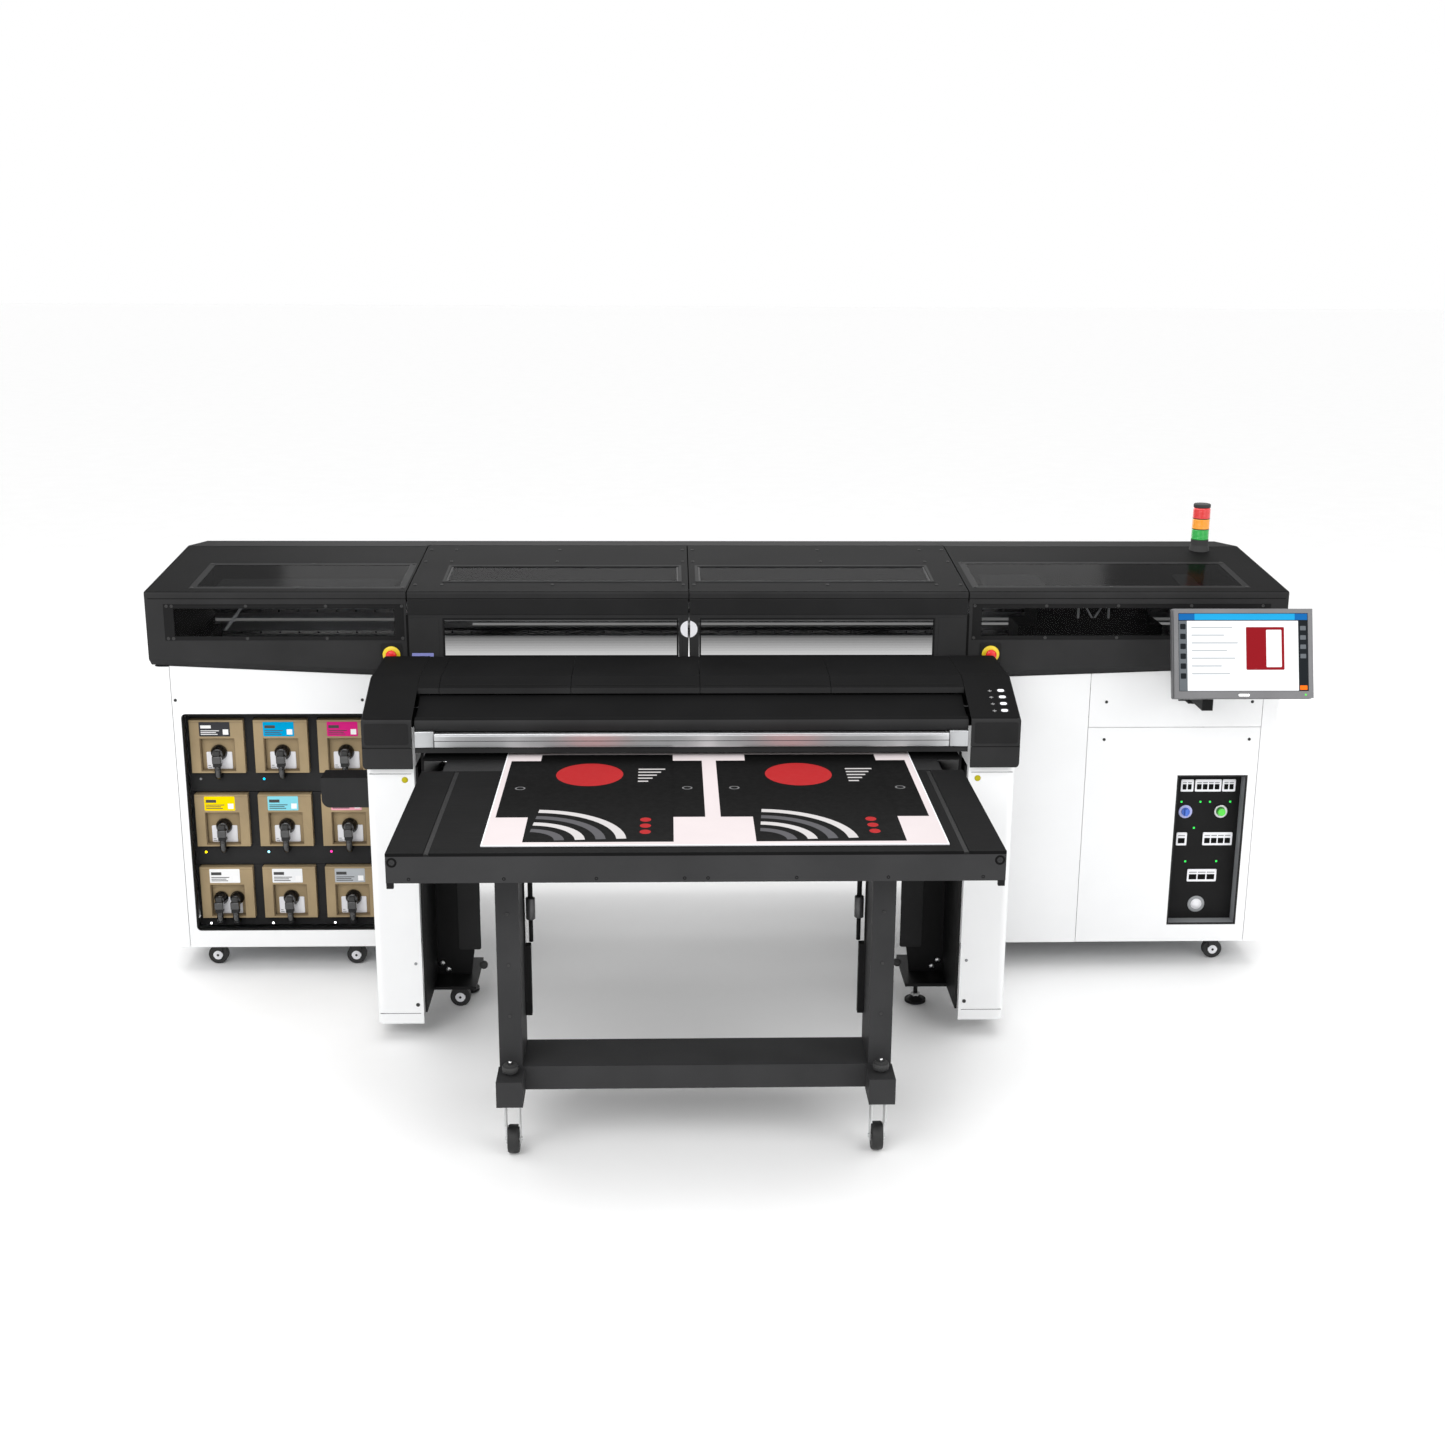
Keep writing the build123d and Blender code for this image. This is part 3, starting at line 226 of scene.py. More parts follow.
WHITE_PAINT = Finish("white_paint", (0.80, 0.805, 0.81), 0.36, Grain.POWDER, drift=0.015)
CHARCOAL = Finish("charcoal_moulding", (0.0300, 0.0300, 0.0305), 0.6, Grain.MOULDED, specular=0.02)
# darker copy of the charcoal for level faces: painted shade on the tops of the covers
CHARCOAL_PAINTED_TOP_SHADE = Finish("charcoal_painted_top_shade", (0.0085, 0.0085, 0.0087), 0.6, Grain.MOULDED, specular=0.02)
CHARCOAL_LIGHT = Finish("charcoal_trim", (0.020, 0.020, 0.0204), 0.55, Grain.MOULDED, specular=0.03)
BLACK_SATIN = Finish("black_satin", (0.0095, 0.0095, 0.0098), 0.5, Grain.POWDER, specular=0.1)
BLACK_DEEP = Finish("black_recess", (0.003, 0.003, 0.003), 0.7, Grain.RUBBER, specular=0.1)
BLACK_PLASTIC = Finish("black_plastic", (0.007, 0.007, 0.0072), 0.3, Grain.MOULDED, specular=0.3)
GRAPHITE = Finish("graphite_coat", (0.021, 0.021, 0.0215), 0.45, Grain.POWDER, specular=0.12)
DECK_BLACK = Finish("black_anodised_deck", (0.0066, 0.0066, 0.0068), 0.6, Grain.BRUSHED, specular=0.03)
FRAME_GREY = Finish("grey_frame_paint", (0.25, 0.26, 0.27), 0.45, Grain.POWDER)
ALLOY = Finish("milled_alloy", (0.50, 0.51, 0.52), 0.34, Grain.BRUSHED, 1.0)
BRUSHED = Finish("brushed_bar", (0.80, 0.80, 0.80), 0.24, Grain.BRUSHED, 0.9, drift=0.05)
BRIGHT = Finish("bright_steel", (0.86, 0.86, 0.86), 0.16, Grain.BRUSHED, 1.0)
# glowing bands standing for the highlights on the beam, the lit one brighter: painted highlight
BEAM_PAINTED_HIGHLIGHT = Finish("beam_band_painted_highlight", (0.12, 0.12, 0.12), 0.45, Grain.BRUSHED, drift=0.1, glow=1.6)
BAND_LIT = Finish("beam_band_lit", (0.16, 0.16, 0.16), 0.45, Grain.BRUSHED, drift=0.1, glow=2.4)
ZINC = Finish("zinc_plate", (0.62, 0.63, 0.63), 0.30, Grain.POWDER, 1.0, drift=0.16)
BELT = Finish("belt_rubber", (0.045, 0.045, 0.046), 0.75, Grain.RUBBER)
TYRE = Finish("tyre_rubber", (0.012, 0.012, 0.012), 0.62, Grain.RUBBER)
PANE = Finish("tinted_pane", (0.006, 0.006, 0.0062), 0.09, Grain.GLOSS, alpha=0.30, specular=0.05)
TOP_PANE = Finish("dark_pane", (0.006, 0.006, 0.0062), 0.12, Grain.GLOSS, alpha=0.66, specular=0.004)
COUPLER = Finish("coupler_gloss", (0.006, 0.006, 0.0065), 0.1, Grain.GLOSS, specular=0.7, coat=0.5)
RACK = Finish("rack_moulding", (0.0050, 0.0050, 0.0051), 0.5, Grain.MOULDED, specular=0.05)
# lighter copy of the rack moulding for its forward faces: painted light on the front
RACK_PAINTED_FRONT_LIGHT = Finish("rack_painted_front_light", (0.0240, 0.0240, 0.0245), 0.5, Grain.MOULDED, specular=0.05)
# black legs and the deck's front beam lightened to grey: painted front light
LEG_GREY_PAINTED_FRONT_LIGHT = Finish("leg_coat_painted_front_light", (0.036, 0.036, 0.037), 0.5, Grain.POWDER, specular=0.06)
STEEL_DARK = Finish("dark_steel", (0.10, 0.10, 0.102), 0.35, Grain.BRUSHED, metallic=0.5, specular=0.2)
CARD = Finish("corrugated_card", (0.315, 0.235, 0.130), 0.82, Grain.FIBRE, drift=0.16)
CARD_EDGE = Finish("cut_card", (0.20, 0.145, 0.078), 0.9, Grain.FIBRE, drift=0.2)
LABEL_INK = Finish("label_mark", (0.03, 0.03, 0.03), 0.5, Grain.GLOSS)
LABEL_PALE = Finish("label_pale_mark", (0.85, 0.85, 0.85), 0.5, Grain.GLOSS)
PLATE_WHITE = Finish("white_plate", (0.80, 0.80, 0.83), 0.35, Grain.GLOSS, drift=0.03)
YELLOW = Finish("warning_yellow", (0.74, 0.56, 0.015), 0.35, Grain.GLOSS, drift=0.03)
STOP_RED = Finish("stop_red", (0.62, 0.012, 0.015), 0.22, Grain.GLOSS, coat=0.4, drift=0.05)
BLUE_KNOB = Finish("switch_blue", (0.03, 0.05, 0.42), 0.28, Grain.GLOSS, drift=0.05)
PALE_BLUE = Finish("switch_ring", (0.42, 0.44, 0.72), 0.32, Grain.GLOSS, drift=0.05)
GREEN_KNOB = Finish("start_green", (0.08, 0.62, 0.05), 0.3, Grain.GLOSS, drift=0.05, glow=0.15)
LILAC = Finish("lilac_strip", (0.26, 0.28, 0.62), 0.4, Grain.GLOSS, drift=0.03)
SILVER_BEZEL = Finish("monitor_bezel", (0.13, 0.13, 0.135), 0.34, Grain.POWDER, 0.3)
LED_STRIP = Finish("bay_light", (1.0, 0.98, 0.95), 0.4, Grain.GLOSS, glow=9.0)


def paint_top_shade(data: bpy.types.Mesh) -> None:
    """Gives the level faces of a charcoal moulding a darker copy of its finish: painted shade on the
    tops.

    Args:
        data: a mesh with its finishes in place.
    """
    slot = data.materials.find(CHARCOAL.name)
    if slot < 0:
        return
    data.materials.append(CHARCOAL_PAINTED_TOP_SHADE.material())
    for face in data.polygons:
        if face.material_index == slot and face.normal.z > LID_NORMAL:
            face.material_index = len(data.materials) - 1


def coloured(name: str, colour: tuple[float, float, float], glow: float = 0.0) -> Finish:
    """A smooth printed or moulded colour, named for what it marks.

    Args:
        name: the finish's name.
        colour: its linear colour.
        glow: light that it gives off.

    Returns:
        The finish.
    """
    return Finish(name, colour, 0.42, Grain.GLOSS, drift=0.03, glow=glow, specular=0.01)


# ------------------------------------------------------------------------------ mesh work
@dataclass(frozen=True)
class Face:
    """A flat working face: u to the right, v up the face and w out of it, in millimetres."""

    x: float
    y: float
    z: float
    u: Vector = field(default_factory=lambda: Vector((1, 0, 0)))
    v: Vector = field(default_factory=lambda: Vector((0, 0, 1)))

    @property
    def w(self) -> Vector:
        """The way out of the face."""
        return self.u.cross(self.v)

    def at(self, u: float, v: float, w: float = 0.0) -> Vector:
        """A point on or over the face, in the frame's metres."""
        return place(self.x, self.y, self.z) + (self.u * u + self.v * v + self.w * w) * MM

    @staticmethod
    def front(y: float) -> "Face":
        """Upright face across the machine, seen by the operator: u is x and v is height."""
        return Face(0, y, 0)

    @staticmethod
    def level(z: float) -> "Face":
        """Level face: u is x and v is depth."""
        return Face(0, 0, z, v=Vector((0, 1, 0)))

    @staticmethod
    def rear(y: float) -> "Face":
        """Upright face at the back: u is minus x and v is height."""
        return Face(0, y, 0, u=Vector((-1, 0, 0)))


class Piece:
    """One visible mesh in the making: blocks, prisms and turned shapes, each with a finish."""

    def __init__(self, name: str) -> None:
        """Starts an empty mesh.

        Args:
            name: of the finished object.
        """
        self.name = name
        self.mesh = bmesh.new()
        self.finishes: list[Finish] = []

    def _slot(self, finish: Finish) -> int:
        """The number of a finish's material slot, added if it is new.

        Args:
            finish: the finish.

        Returns:
            The slot's number.
        """
        if finish not in self.finishes:
            self.finishes.append(finish)
        return self.finishes.index(finish)

    def _own(self, faces: Iterable[bmesh.types.BMFace], finish: Finish, smooth: bool) -> None:
        """Gives faces their finish and shading.

        Args:
            faces: the faces.
            finish: their finish.
            smooth: whether they are shaded smooth.
        """
        slot = self._slot(finish)
        for face in faces:
            face.material_index = slot
            face.smooth = smooth

    def prism(
        self, face: Face, outline: Profile, w0: float, w1: float,
        finish: Finish, bevel: float = 0.0,
    ) -> "Piece":
        """A straight solid over an outline drawn on a face, its far edges softened.

        Args:
            face: the working face.
            outline: corners (u, v), anticlockwise seen from outside.
            w0: where the solid starts.
            w1: where it ends, further out.
            finish: its finish.
            bevel: width of the softened edge.

        Returns:
            This piece, for more calls.
        """
        area = sum(a[0] * b[1] - b[0] * a[1] for a, b in zip(outline, [*outline[1:], outline[0]]))
        points = list(outline) if area > 0 else list(reversed(outline))
        low = [self.mesh.verts.new(face.at(u, v, w0)) for u, v in points]
        high = [self.mesh.verts.new(face.at(u, v, w1)) for u, v in points]
        made = [self.mesh.faces.new(list(reversed(low))), self.mesh.faces.new(high)]
        for n, corner in enumerate(low):
            after = (n + 1) % len(low)
            made.append(self.mesh.faces.new([corner, low[after], high[after], high[n]]))
        self._own(made, finish, False)
        if bevel:
            edges = {e for f in made for e in f.edges}
            cut = bmesh.ops.bevel(
                self.mesh, geom=list(edges), offset=bevel * MM, segments=2, affect="EDGES",
                profile=0.5, clamp_overlap=True, material=-1,
            )
            self._own(cut["faces"], finish, True)
        return self

    def block(
        self, face: Face, u0: float, u1: float, v0: float, v1: float, w0: float, w1: float,
        finish: Finish, bevel: float = 0.0,
    ) -> "Piece":
        """A box over a rectangle of a face, with softened edges."""
        outline = [(u0, v0), (u1, v0), (u1, v1), (u0, v1)]
        return self.prism(face, outline, w0, w1, finish, bevel)

    def pad(
        self, face: Face, u0: float, u1: float, v0: float, v1: float, w0: float, w1: float,
        finish: Finish, radius: float = 4.0, bevel: float = 0.0,
    ) -> "Piece":
        """A plate with round corners on a face."""
        return self.prism(face, rounded(u0, u1, v0, v1, radius), w0, w1, finish, bevel)

    def frame(
        self, face: Face, outer: Box, inner: Box, w0: float, w1: float, finish: Finish,
        slope: float = 0.0,
    ) -> "Piece":
        """A rectangular ring whose inner edge may slope away into the opening.

        Args:
            face: the working face.
            outer: outer rectangle as u0, u1, v0, v1.
            inner: inner rectangle at the top of the ring, in the same order.
            w0: underside of the ring.
            w1: top of the ring.
            finish: its finish.
            slope: how much smaller the opening is at the underside.

        Returns:
            This piece, for more calls.
        """
        def ring(box: Box, w: float) -> list[bmesh.types.BMVert]:
            """Four corners of a rectangle at one height.

            Args:
                box: the rectangle as u0, u1, v0, v1.
                w: the height.

            Returns:
                The new corners.
            """
            u0, u1, v0, v1 = box
            spots = ((u0, v0), (u1, v0), (u1, v1), (u0, v1))
            return [self.mesh.verts.new(face.at(u, v, w)) for u, v in spots]

        deep = (inner[0] + slope, inner[1] - slope, inner[2] + slope, inner[3] - slope)
        loops = [ring(outer, w0), ring(outer, w1), ring(inner, w1), ring(deep, w0)]
        made = []
        for a, b in zip(loops, [*loops[1:], loops[0]]):
            for n in range(4):
                m = (n + 1) % 4
                made.append(self.mesh.faces.new([a[n], a[m], b[m], b[n]]))
        self._own(made, finish, False)
        return self

    def turned(
        self, face: Face, u: float, v: float, profile: Profile,
        finish: Finish, steps: int = 32, smooth: bool = True,
    ) -> "Piece":
        """A turned shape standing on a face.

        Args:
            face: the working face, whose way out is the axis.
            u: axis position on the face.
            v: axis position up the face.
            profile: (radius, height) pairs from the underside round to the top.
            finish: its finish.
            steps: sides of the round.
            smooth: whether it is shaded smooth.

        Returns:
            This piece, for more calls.
        """
        rings: list[list[bmesh.types.BMVert]] = []
        for radius, height in profile:
            if radius <= 0:
                rings.append([self.mesh.verts.new(face.at(u, v, height))])
                continue
            turn = [2 * math.pi * n / steps for n in range(steps)]
            rings.append([
                self.mesh.verts.new(
                    face.at(u + radius * math.cos(a), v + radius * math.sin(a), height)
                )
                for a in turn
            ])
        made = []
        for low, high in zip(rings, rings[1:]):
            for n in range(steps):
                m = (n + 1) % steps
                corners = [
                    low[n % len(low)], low[m % len(low)], high[m % len(high)], high[n % len(high)],
                ]
                made.append(self.mesh.faces.new(list(dict.fromkeys(corners))))
        for end, ring in ((0, rings[0]), (1, rings[-1])):
            if len(ring) > 1:
                made.append(self.mesh.faces.new(ring if end else list(reversed(ring))))
        self._own(made, finish, smooth)
        for edge in {e for f in made for e in f.edges}:
            if len(edge.link_faces) == 2 and edge.calc_face_angle(0) > math.radians(35):
                edge.smooth = False
        return self

    def tube(
        self, path: Sequence[Vector], radius: float, finish: Finish, sides: int = 16,
    ) -> "Piece":
        """A round bar that follows points, capped at both ends.

        Args:
            path: points in the frame's metres.
            radius: in millimetres.
            finish: its finish.
            sides: sides of the round.

        Returns:
            This piece, for more calls.
        """
        rings = []
        up = Vector((1, 0, 0))
        for n, point in enumerate(path):
            before, after = path[max(0, n - 1)], path[min(len(path) - 1, n + 1)]
            along = (after - before).normalized()
            if abs(along.dot(up)) > 0.9:
                up = Vector((0, 1, 0))
            across = along.cross(up).normalized()
            third = across.cross(along)
            turn = [2 * math.pi * k / sides for k in range(sides)]
            rings.append([
                self.mesh.verts.new(
                    point + (across * math.cos(a) + third * math.sin(a)) * radius * MM
                )
                for a in turn
            ])
        made = []
        for low, high in zip(rings, rings[1:]):
            for k in range(sides):
                j = (k + 1) % sides
                made.append(self.mesh.faces.new([low[k], high[k], high[j], low[j]]))
        made.append(self.mesh.faces.new(rings[0]))
        made.append(self.mesh.faces.new(list(reversed(rings[-1]))))
        self._own(made, finish, True)
        for face in made[-2:]:
            face.smooth = False
        return self

    def done(self, body: str, stands_for: Sequence[str] = ()) -> bpy.types.Object:
        """Turns the mesh into an object that rides on a body.

        Args:
            body: the frame body that it moves with.
            stands_for: frame nodes that it replaces.

        Returns:
            The finished object.
        """
        bmesh.ops.remove_doubles(self.mesh, verts=self.mesh.verts, dist=1e-7)
        bmesh.ops.recalc_face_normals(self.mesh, faces=self.mesh.faces)
        data = bpy.data.meshes.new(self.name)
        self.mesh.to_mesh(data)
        self.mesh.free()
        for finish in self.finishes:
            data.materials.append(finish.material())
        # painted shade on the level charcoal faces
        paint_top_shade(data)
        made = bpy.data.objects.new(self.name, data)
        bpy.context.scene.collection.objects.link(made)
        fit(made, body, stands_for)
        return made


def rounded(
    u0: float, u1: float, v0: float, v1: float, radius: float, steps: int = 4,
) -> list[tuple[float, float]]:
    """Outline of a rectangle with round corners, anticlockwise.

    Args:
        u0: left edge.
        u1: right edge.
        v0: lower edge.
        v1: upper edge.
        radius: of the corners.
        steps: straight runs in each corner.

    Returns:
        The corner points.
    """
    corners = (
        (u1 - radius, v0 + radius, -90), (u1 - radius, v1 - radius, 0),
        (u0 + radius, v1 - radius, 90), (u0 + radius, v0 + radius, 180),
    )
    outline = []
    for u, v, start in corners:
        for n in range(steps + 1):
            angle = math.radians(start + 90 * n / steps)
            outline.append((u + radius * math.cos(angle), v + radius * math.sin(angle)))
    return outline


def fit(
    made: bpy.types.Object, body: str, stands_for: Sequence[str] = (),
) -> None:
    """Hangs a finished object on its body, hides the frame nodes that it stands for and logs it.

    Args:
        made: the object.
        body: the frame body that it moves with.
        stands_for: frame nodes that it replaces.
    """
    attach(made, body)
    if stands_for:
        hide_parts(*stands_for)
    log.info("%s: %d faces on %s", made.name, len(made.data.polygons), body)


# ------------------------------------------------------------------------------ repeated pieces
class Weave:
    """A Geometry Nodes tree in the making, with its named inputs."""

    def __init__(self, name: str) -> None:
        """Starts an empty tree with a geometry output.

        Args:
            name: of the tree.
        """
        self.tree = bpy.data.node_groups.new(name, "GeometryNodeTree")
        self.tree.interface.new_socket("Geometry", in_out="INPUT", socket_type="NodeSocketGeometry")
        self.tree.interface.new_socket("Geometry", in_out="OUTPUT", socket_type="NodeSocketGeometry")
        self.source = self.tree.nodes.new("NodeGroupInput")
        self.sink = self.tree.nodes.new("NodeGroupOutput")

    def input(self, name: str, kind: str) -> None:
        """Adds a named input of a socket kind."""
        self.tree.interface.new_socket(name, in_out="INPUT", socket_type=kind)

    def add(self, kind: str, **settings: object) -> bpy.types.Node:
        """Adds a node and sets its properties.

        Args:
            kind: the node's type.
            **settings: properties by name.

        Returns:
            The node.
        """
        node = self.tree.nodes.new(kind)
        for key, value in settings.items():
            setattr(node, key, value)
        return node

    def link(self, source: bpy.types.NodeSocket, target: bpy.types.NodeSocket) -> None:
        """Joins two sockets."""
        self.tree.links.new(source, target)

    def finish(self, last: bpy.types.NodeSocket) -> None:
        """Ends the tree in Realize Instances and Set Material.

        Args:
            last: the socket that holds the instances.
        """
        real = self.add("GeometryNodeRealizeInstances")
        paint = self.add("GeometryNodeSetMaterial")
        self.link(last, real.inputs["Geometry"])
        self.link(real.outputs["Geometry"], paint.inputs["Geometry"])
        self.link(self.source.outputs["Finish"], paint.inputs["Material"])
        self.link(paint.outputs["Geometry"], self.sink.inputs["Geometry"])


def facing_tree() -> bpy.types.NodeTree:
    """Tree that stands a master shape on every point, turned to the point's own direction.

    Returns:
        The tree, with inputs Master, Spin Seed and Finish.
    """
    weave = Weave("stand_on_points")
    weave.input("Master", "NodeSocketObject")
    weave.input("Spin Seed", "NodeSocketInt")
    weave.input("Finish", "NodeSocketMaterial")
    master = weave.add("GeometryNodeObjectInfo")
    way = weave.add("GeometryNodeInputNamedAttribute", data_type="FLOAT_VECTOR")
    way.inputs["Name"].default_value = "way"
    align = weave.add("FunctionNodeAlignRotationToVector", axis="Z")
    spin = weave.add("FunctionNodeRandomValue", data_type="FLOAT")
    spin.inputs[3].default_value = 2 * math.pi
    twist = weave.add("FunctionNodeAxisAngleToRotation")
    twist.inputs["Axis"].default_value = (0, 0, 1)
    turn = weave.add("FunctionNodeRotateRotation", rotation_space="LOCAL")
    points = weave.add("GeometryNodeMeshToPoints")
    stand = weave.add("GeometryNodeInstanceOnPoints")
    weave.link(weave.source.outputs["Master"], master.inputs["Object"])
    weave.link(way.outputs["Attribute"], align.inputs["Vector"])
    weave.link(weave.source.outputs["Spin Seed"], spin.inputs["Seed"])
    weave.link(spin.outputs[1], twist.inputs["Angle"])
    weave.link(align.outputs["Rotation"], turn.inputs["Rotation"])
    weave.link(twist.outputs["Rotation"], turn.inputs["Rotate By"])
    weave.link(weave.source.outputs["Geometry"], points.inputs["Mesh"])
    weave.link(points.outputs["Points"], stand.inputs["Points"])
    weave.link(master.outputs["Geometry"], stand.inputs["Instance"])
    weave.link(turn.outputs["Rotation"], stand.inputs["Rotation"])
    weave.finish(stand.outputs["Instances"])
    return weave.tree


def grid_tree() -> bpy.types.NodeTree:
    """Tree that repeats a master shape over a grid and lays the grid on its place.

    Returns:
        The tree, with inputs Master, Columns, Rows, Width, Height, Place, Turn and Finish.
    """
    weave = Weave("grid_of_pieces")
    for name, kind in (
        ("Master", "NodeSocketObject"), ("Columns", "NodeSocketInt"), ("Rows", "NodeSocketInt"),
        ("Width", "NodeSocketFloat"), ("Height", "NodeSocketFloat"),
        ("Place", "NodeSocketVector"), ("Turn", "NodeSocketRotation"),
        ("Finish", "NodeSocketMaterial"),
    ):
        weave.input(name, kind)
    master = weave.add("GeometryNodeObjectInfo")
    grid = weave.add("GeometryNodeMeshGrid")
    points = weave.add("GeometryNodeMeshToPoints")
    stand = weave.add("GeometryNodeInstanceOnPoints")
    lay = weave.add("GeometryNodeTransform")
    weave.link(weave.source.outputs["Master"], master.inputs["Object"])
    for name, socket in (
        ("Columns", "Vertices X"), ("Rows", "Vertices Y"), ("Width", "Size X"), ("Height", "Size Y"),
    ):
        weave.link(weave.source.outputs[name], grid.inputs[socket])
    weave.link(grid.outputs["Mesh"], points.inputs["Mesh"])
    weave.link(points.outputs["Points"], stand.inputs["Points"])
    weave.link(master.outputs["Geometry"], stand.inputs["Instance"])
    weave.link(stand.outputs["Instances"], lay.inputs["Geometry"])
    weave.link(weave.source.outputs["Place"], lay.inputs["Translation"])
    weave.link(weave.source.outputs["Turn"], lay.inputs["Rotation"])
    weave.finish(lay.outputs["Geometry"])
    return weave.tree


class Master:
    """A small shape, made about its own origin, that Geometry Nodes repeats."""

    def __init__(self, name: str, build: Callable[[Piece, Face], None]) -> None:
        """Builds the shape on a level face through the origin.

        Args:
            name: of the shape.
            build: draws it on the piece and face that it is given.
        """
        piece = Piece(name)
        origin = Face(-PRINT_X / MM, -FACE_Y / MM, 0, v=Vector((0, 1, 0)))
        build(piece, origin)
        data = bpy.data.meshes.new(name)
        bmesh.ops.recalc_face_normals(piece.mesh, faces=piece.mesh.faces)
        piece.mesh.to_mesh(data)
        piece.mesh.free()
        self.object = bpy.data.objects.new(name, data)

    def close(self) -> None:
        """Removes the shape once it has been repeated."""
        bpy.data.objects.remove(self.object)


def grow(
    base: bpy.types.Mesh, name: str, tree: bpy.types.NodeTree, inputs: dict[str, object],
) -> bpy.types.Object:
    """Runs a tree on a mesh and keeps the result as a plain object.

    Args:
        base: the mesh that the tree starts from.
        name: of the new object.
        tree: the Geometry Nodes tree.
        inputs: values by the inputs' names.

    Returns:
        The new object, with no modifier.
    """
    carrier = bpy.data.objects.new(name + "_carrier", base)
    bpy.context.scene.collection.objects.link(carrier)
    modifier = carrier.modifiers.new("repeat", "NODES")
    modifier.node_group = tree
    for item in tree.interface.items_tree:
        if item.item_type == "SOCKET" and item.in_out == "INPUT" and item.name in inputs:
            modifier[item.identifier] = inputs[item.name]
    bpy.context.view_layer.update()
    evaluated = carrier.evaluated_get(bpy.context.evaluated_depsgraph_get())
    data = bpy.data.meshes.new_from_object(evaluated)
    data.name = name
    carrier.modifiers.clear()
    bpy.data.objects.remove(carrier)
    made = bpy.data.objects.new(name, data)
    bpy.context.scene.collection.objects.link(made)
    return made


class Repeater:
    """Makes rows, grids and scattered sets of small pieces."""

    def __init__(self) -> None:
        """Builds the two trees once."""
        self.facing = facing_tree()
        self.grid = grid_tree()

    def stand(
        self, name: str, master: Master, spots: Sequence[tuple[Vector, Vector]], finish: Finish,
        body: str, slot: str, seed: int = 7, stands_for: Sequence[str] = (),
    ) -> bpy.types.Object:
        """Stands a master on each spot, facing the spot's direction, at a seeded turn.

        Args:
            name: of the joined piece.
            master: the shape.
            spots: (point, direction) pairs in the frame's metres.
            finish: of every copy.
            body: the frame body that they move with.
            slot: not used.
            seed: of the turns.
            stands_for: frame nodes that they replace.

        Returns:
            The joined piece.
        """
        base = bpy.data.meshes.new(name + "_spots")
        base.from_pydata([tuple(p) for p, _ in spots], [], [])
        way = base.attributes.new("way", "FLOAT_VECTOR", "POINT")
        for n, (_, direction) in enumerate(spots):
            way.data[n].vector = direction
        inputs = {"Master": master.object, "Spin Seed": seed, "Finish": finish.material()}
        made = grow(base, name, self.facing, inputs)
        fit(made, body, stands_for)
        return made

    def lay(
        self, name: str, master: Master, face: Face, centre: tuple[float, float, float],
        counts: tuple[int, int], size: tuple[float, float], finish: Finish, body: str, slot: str,
    ) -> bpy.types.Object:
        """Lays a grid of masters on a face.

        Args:
            name: of the joined piece.
            master: the shape, drawn with its way out along z.
            face: the working face.
            centre: u, v and w of the grid's middle, in millimetres.
            counts: columns and rows.
            size: distance between the outer columns and rows, in millimetres.
            finish: of every copy.
            body: the frame body that they move with.
            slot: not used.

        Returns:
            The joined piece.
        """
        base = bpy.data.meshes.new(name + "_base")
        turn = Matrix((face.u, face.v, face.w)).transposed().to_euler()
        inputs = {
            "Master": master.object, "Columns": counts[0], "Rows": counts[1],
            "Width": size[0] * MM, "Height": size[1] * MM, "Place": face.at(*centre),
            "Turn": turn, "Finish": finish.material(),
        }
        made = grow(base, name, self.grid, inputs)
        fit(made, body)
        return made


# ------------------------------------------------------------------------------ working faces
LID = Face(0, -30, 1525, v=Vector((0, 670, 58)).normalized())
COVER = Face.front(-30)
PANEL = Face.front(0)


def grown(box: Box, by: float) -> Box:
    """A rectangle u0, u1, v0, v1 made larger on every side."""
    return (box[0] - by, box[1] + by, box[2] - by, box[3] + by)


def sided(side: int, a: float, b: float) -> tuple[float, float]:
    """The span from a to b on the left (-1) or right (1) side of the middle, lower end first."""
    return (a, b) if side > 0 else (-b, -a)


def bar_pattern(
    piece: Piece, face: Face, u0: float, v0: float, widths: Sequence[float], pitch: float,
    height: float, w: float, finish: Finish,
) -> None:
    """Plain bars where a label or a screen would carry writing.

    Args:
        piece: the piece to add to.
        face: the face that they lie on.
        u0: left end of the bars.
        v0: underside of the lowest bar.
        widths: of the bars from the lowest up.
        pitch: between bars.
        height: of a bar.
        w: how far out they lie.
        finish: of the bars.
    """
    for n, width in enumerate(widths):
        v = v0 + n * pitch
        piece.block(face, u0, u0 + width, v, v + height, w, w + 0.3, finish)


# ------------------------------------------------------------------------------ covers
@dataclass(frozen=True)
class WindowSizes:
    """Rectangles of the windows: x span, then span up the face."""

    front: tuple[tuple[float, float], ...] = ((-1955, -1068), (1060, 2190))
    front_v: tuple[float, float] = (1342, 1480)
    clear_v: tuple[float, float] = (1357, 1463)
    top: tuple[Box, ...] = ((-1872, -1066, 50, 408), (1066, 2128, 60, 430))
    front_border: float = 36
    top_border: float = 26
    hood_glass: tuple[tuple[float, float], ...] = ((-926, -44), (32, 920))
    hood_front_v: tuple[float, float] = (1276, 1426)
    hood_top_v: tuple[float, float] = (150, 358)
    clearance: float = 0.5
    lap: float = 2
    pane: tuple[float, float] = (-2.9, -1.6)
    border: tuple[float, float] = (-3, -0.6)
    hood_pane: tuple[float, float] = (-3.6, -2.4)
    hood_seal: tuple[float, float] = (-2.4, -0.4)
    seal_width: float = 6


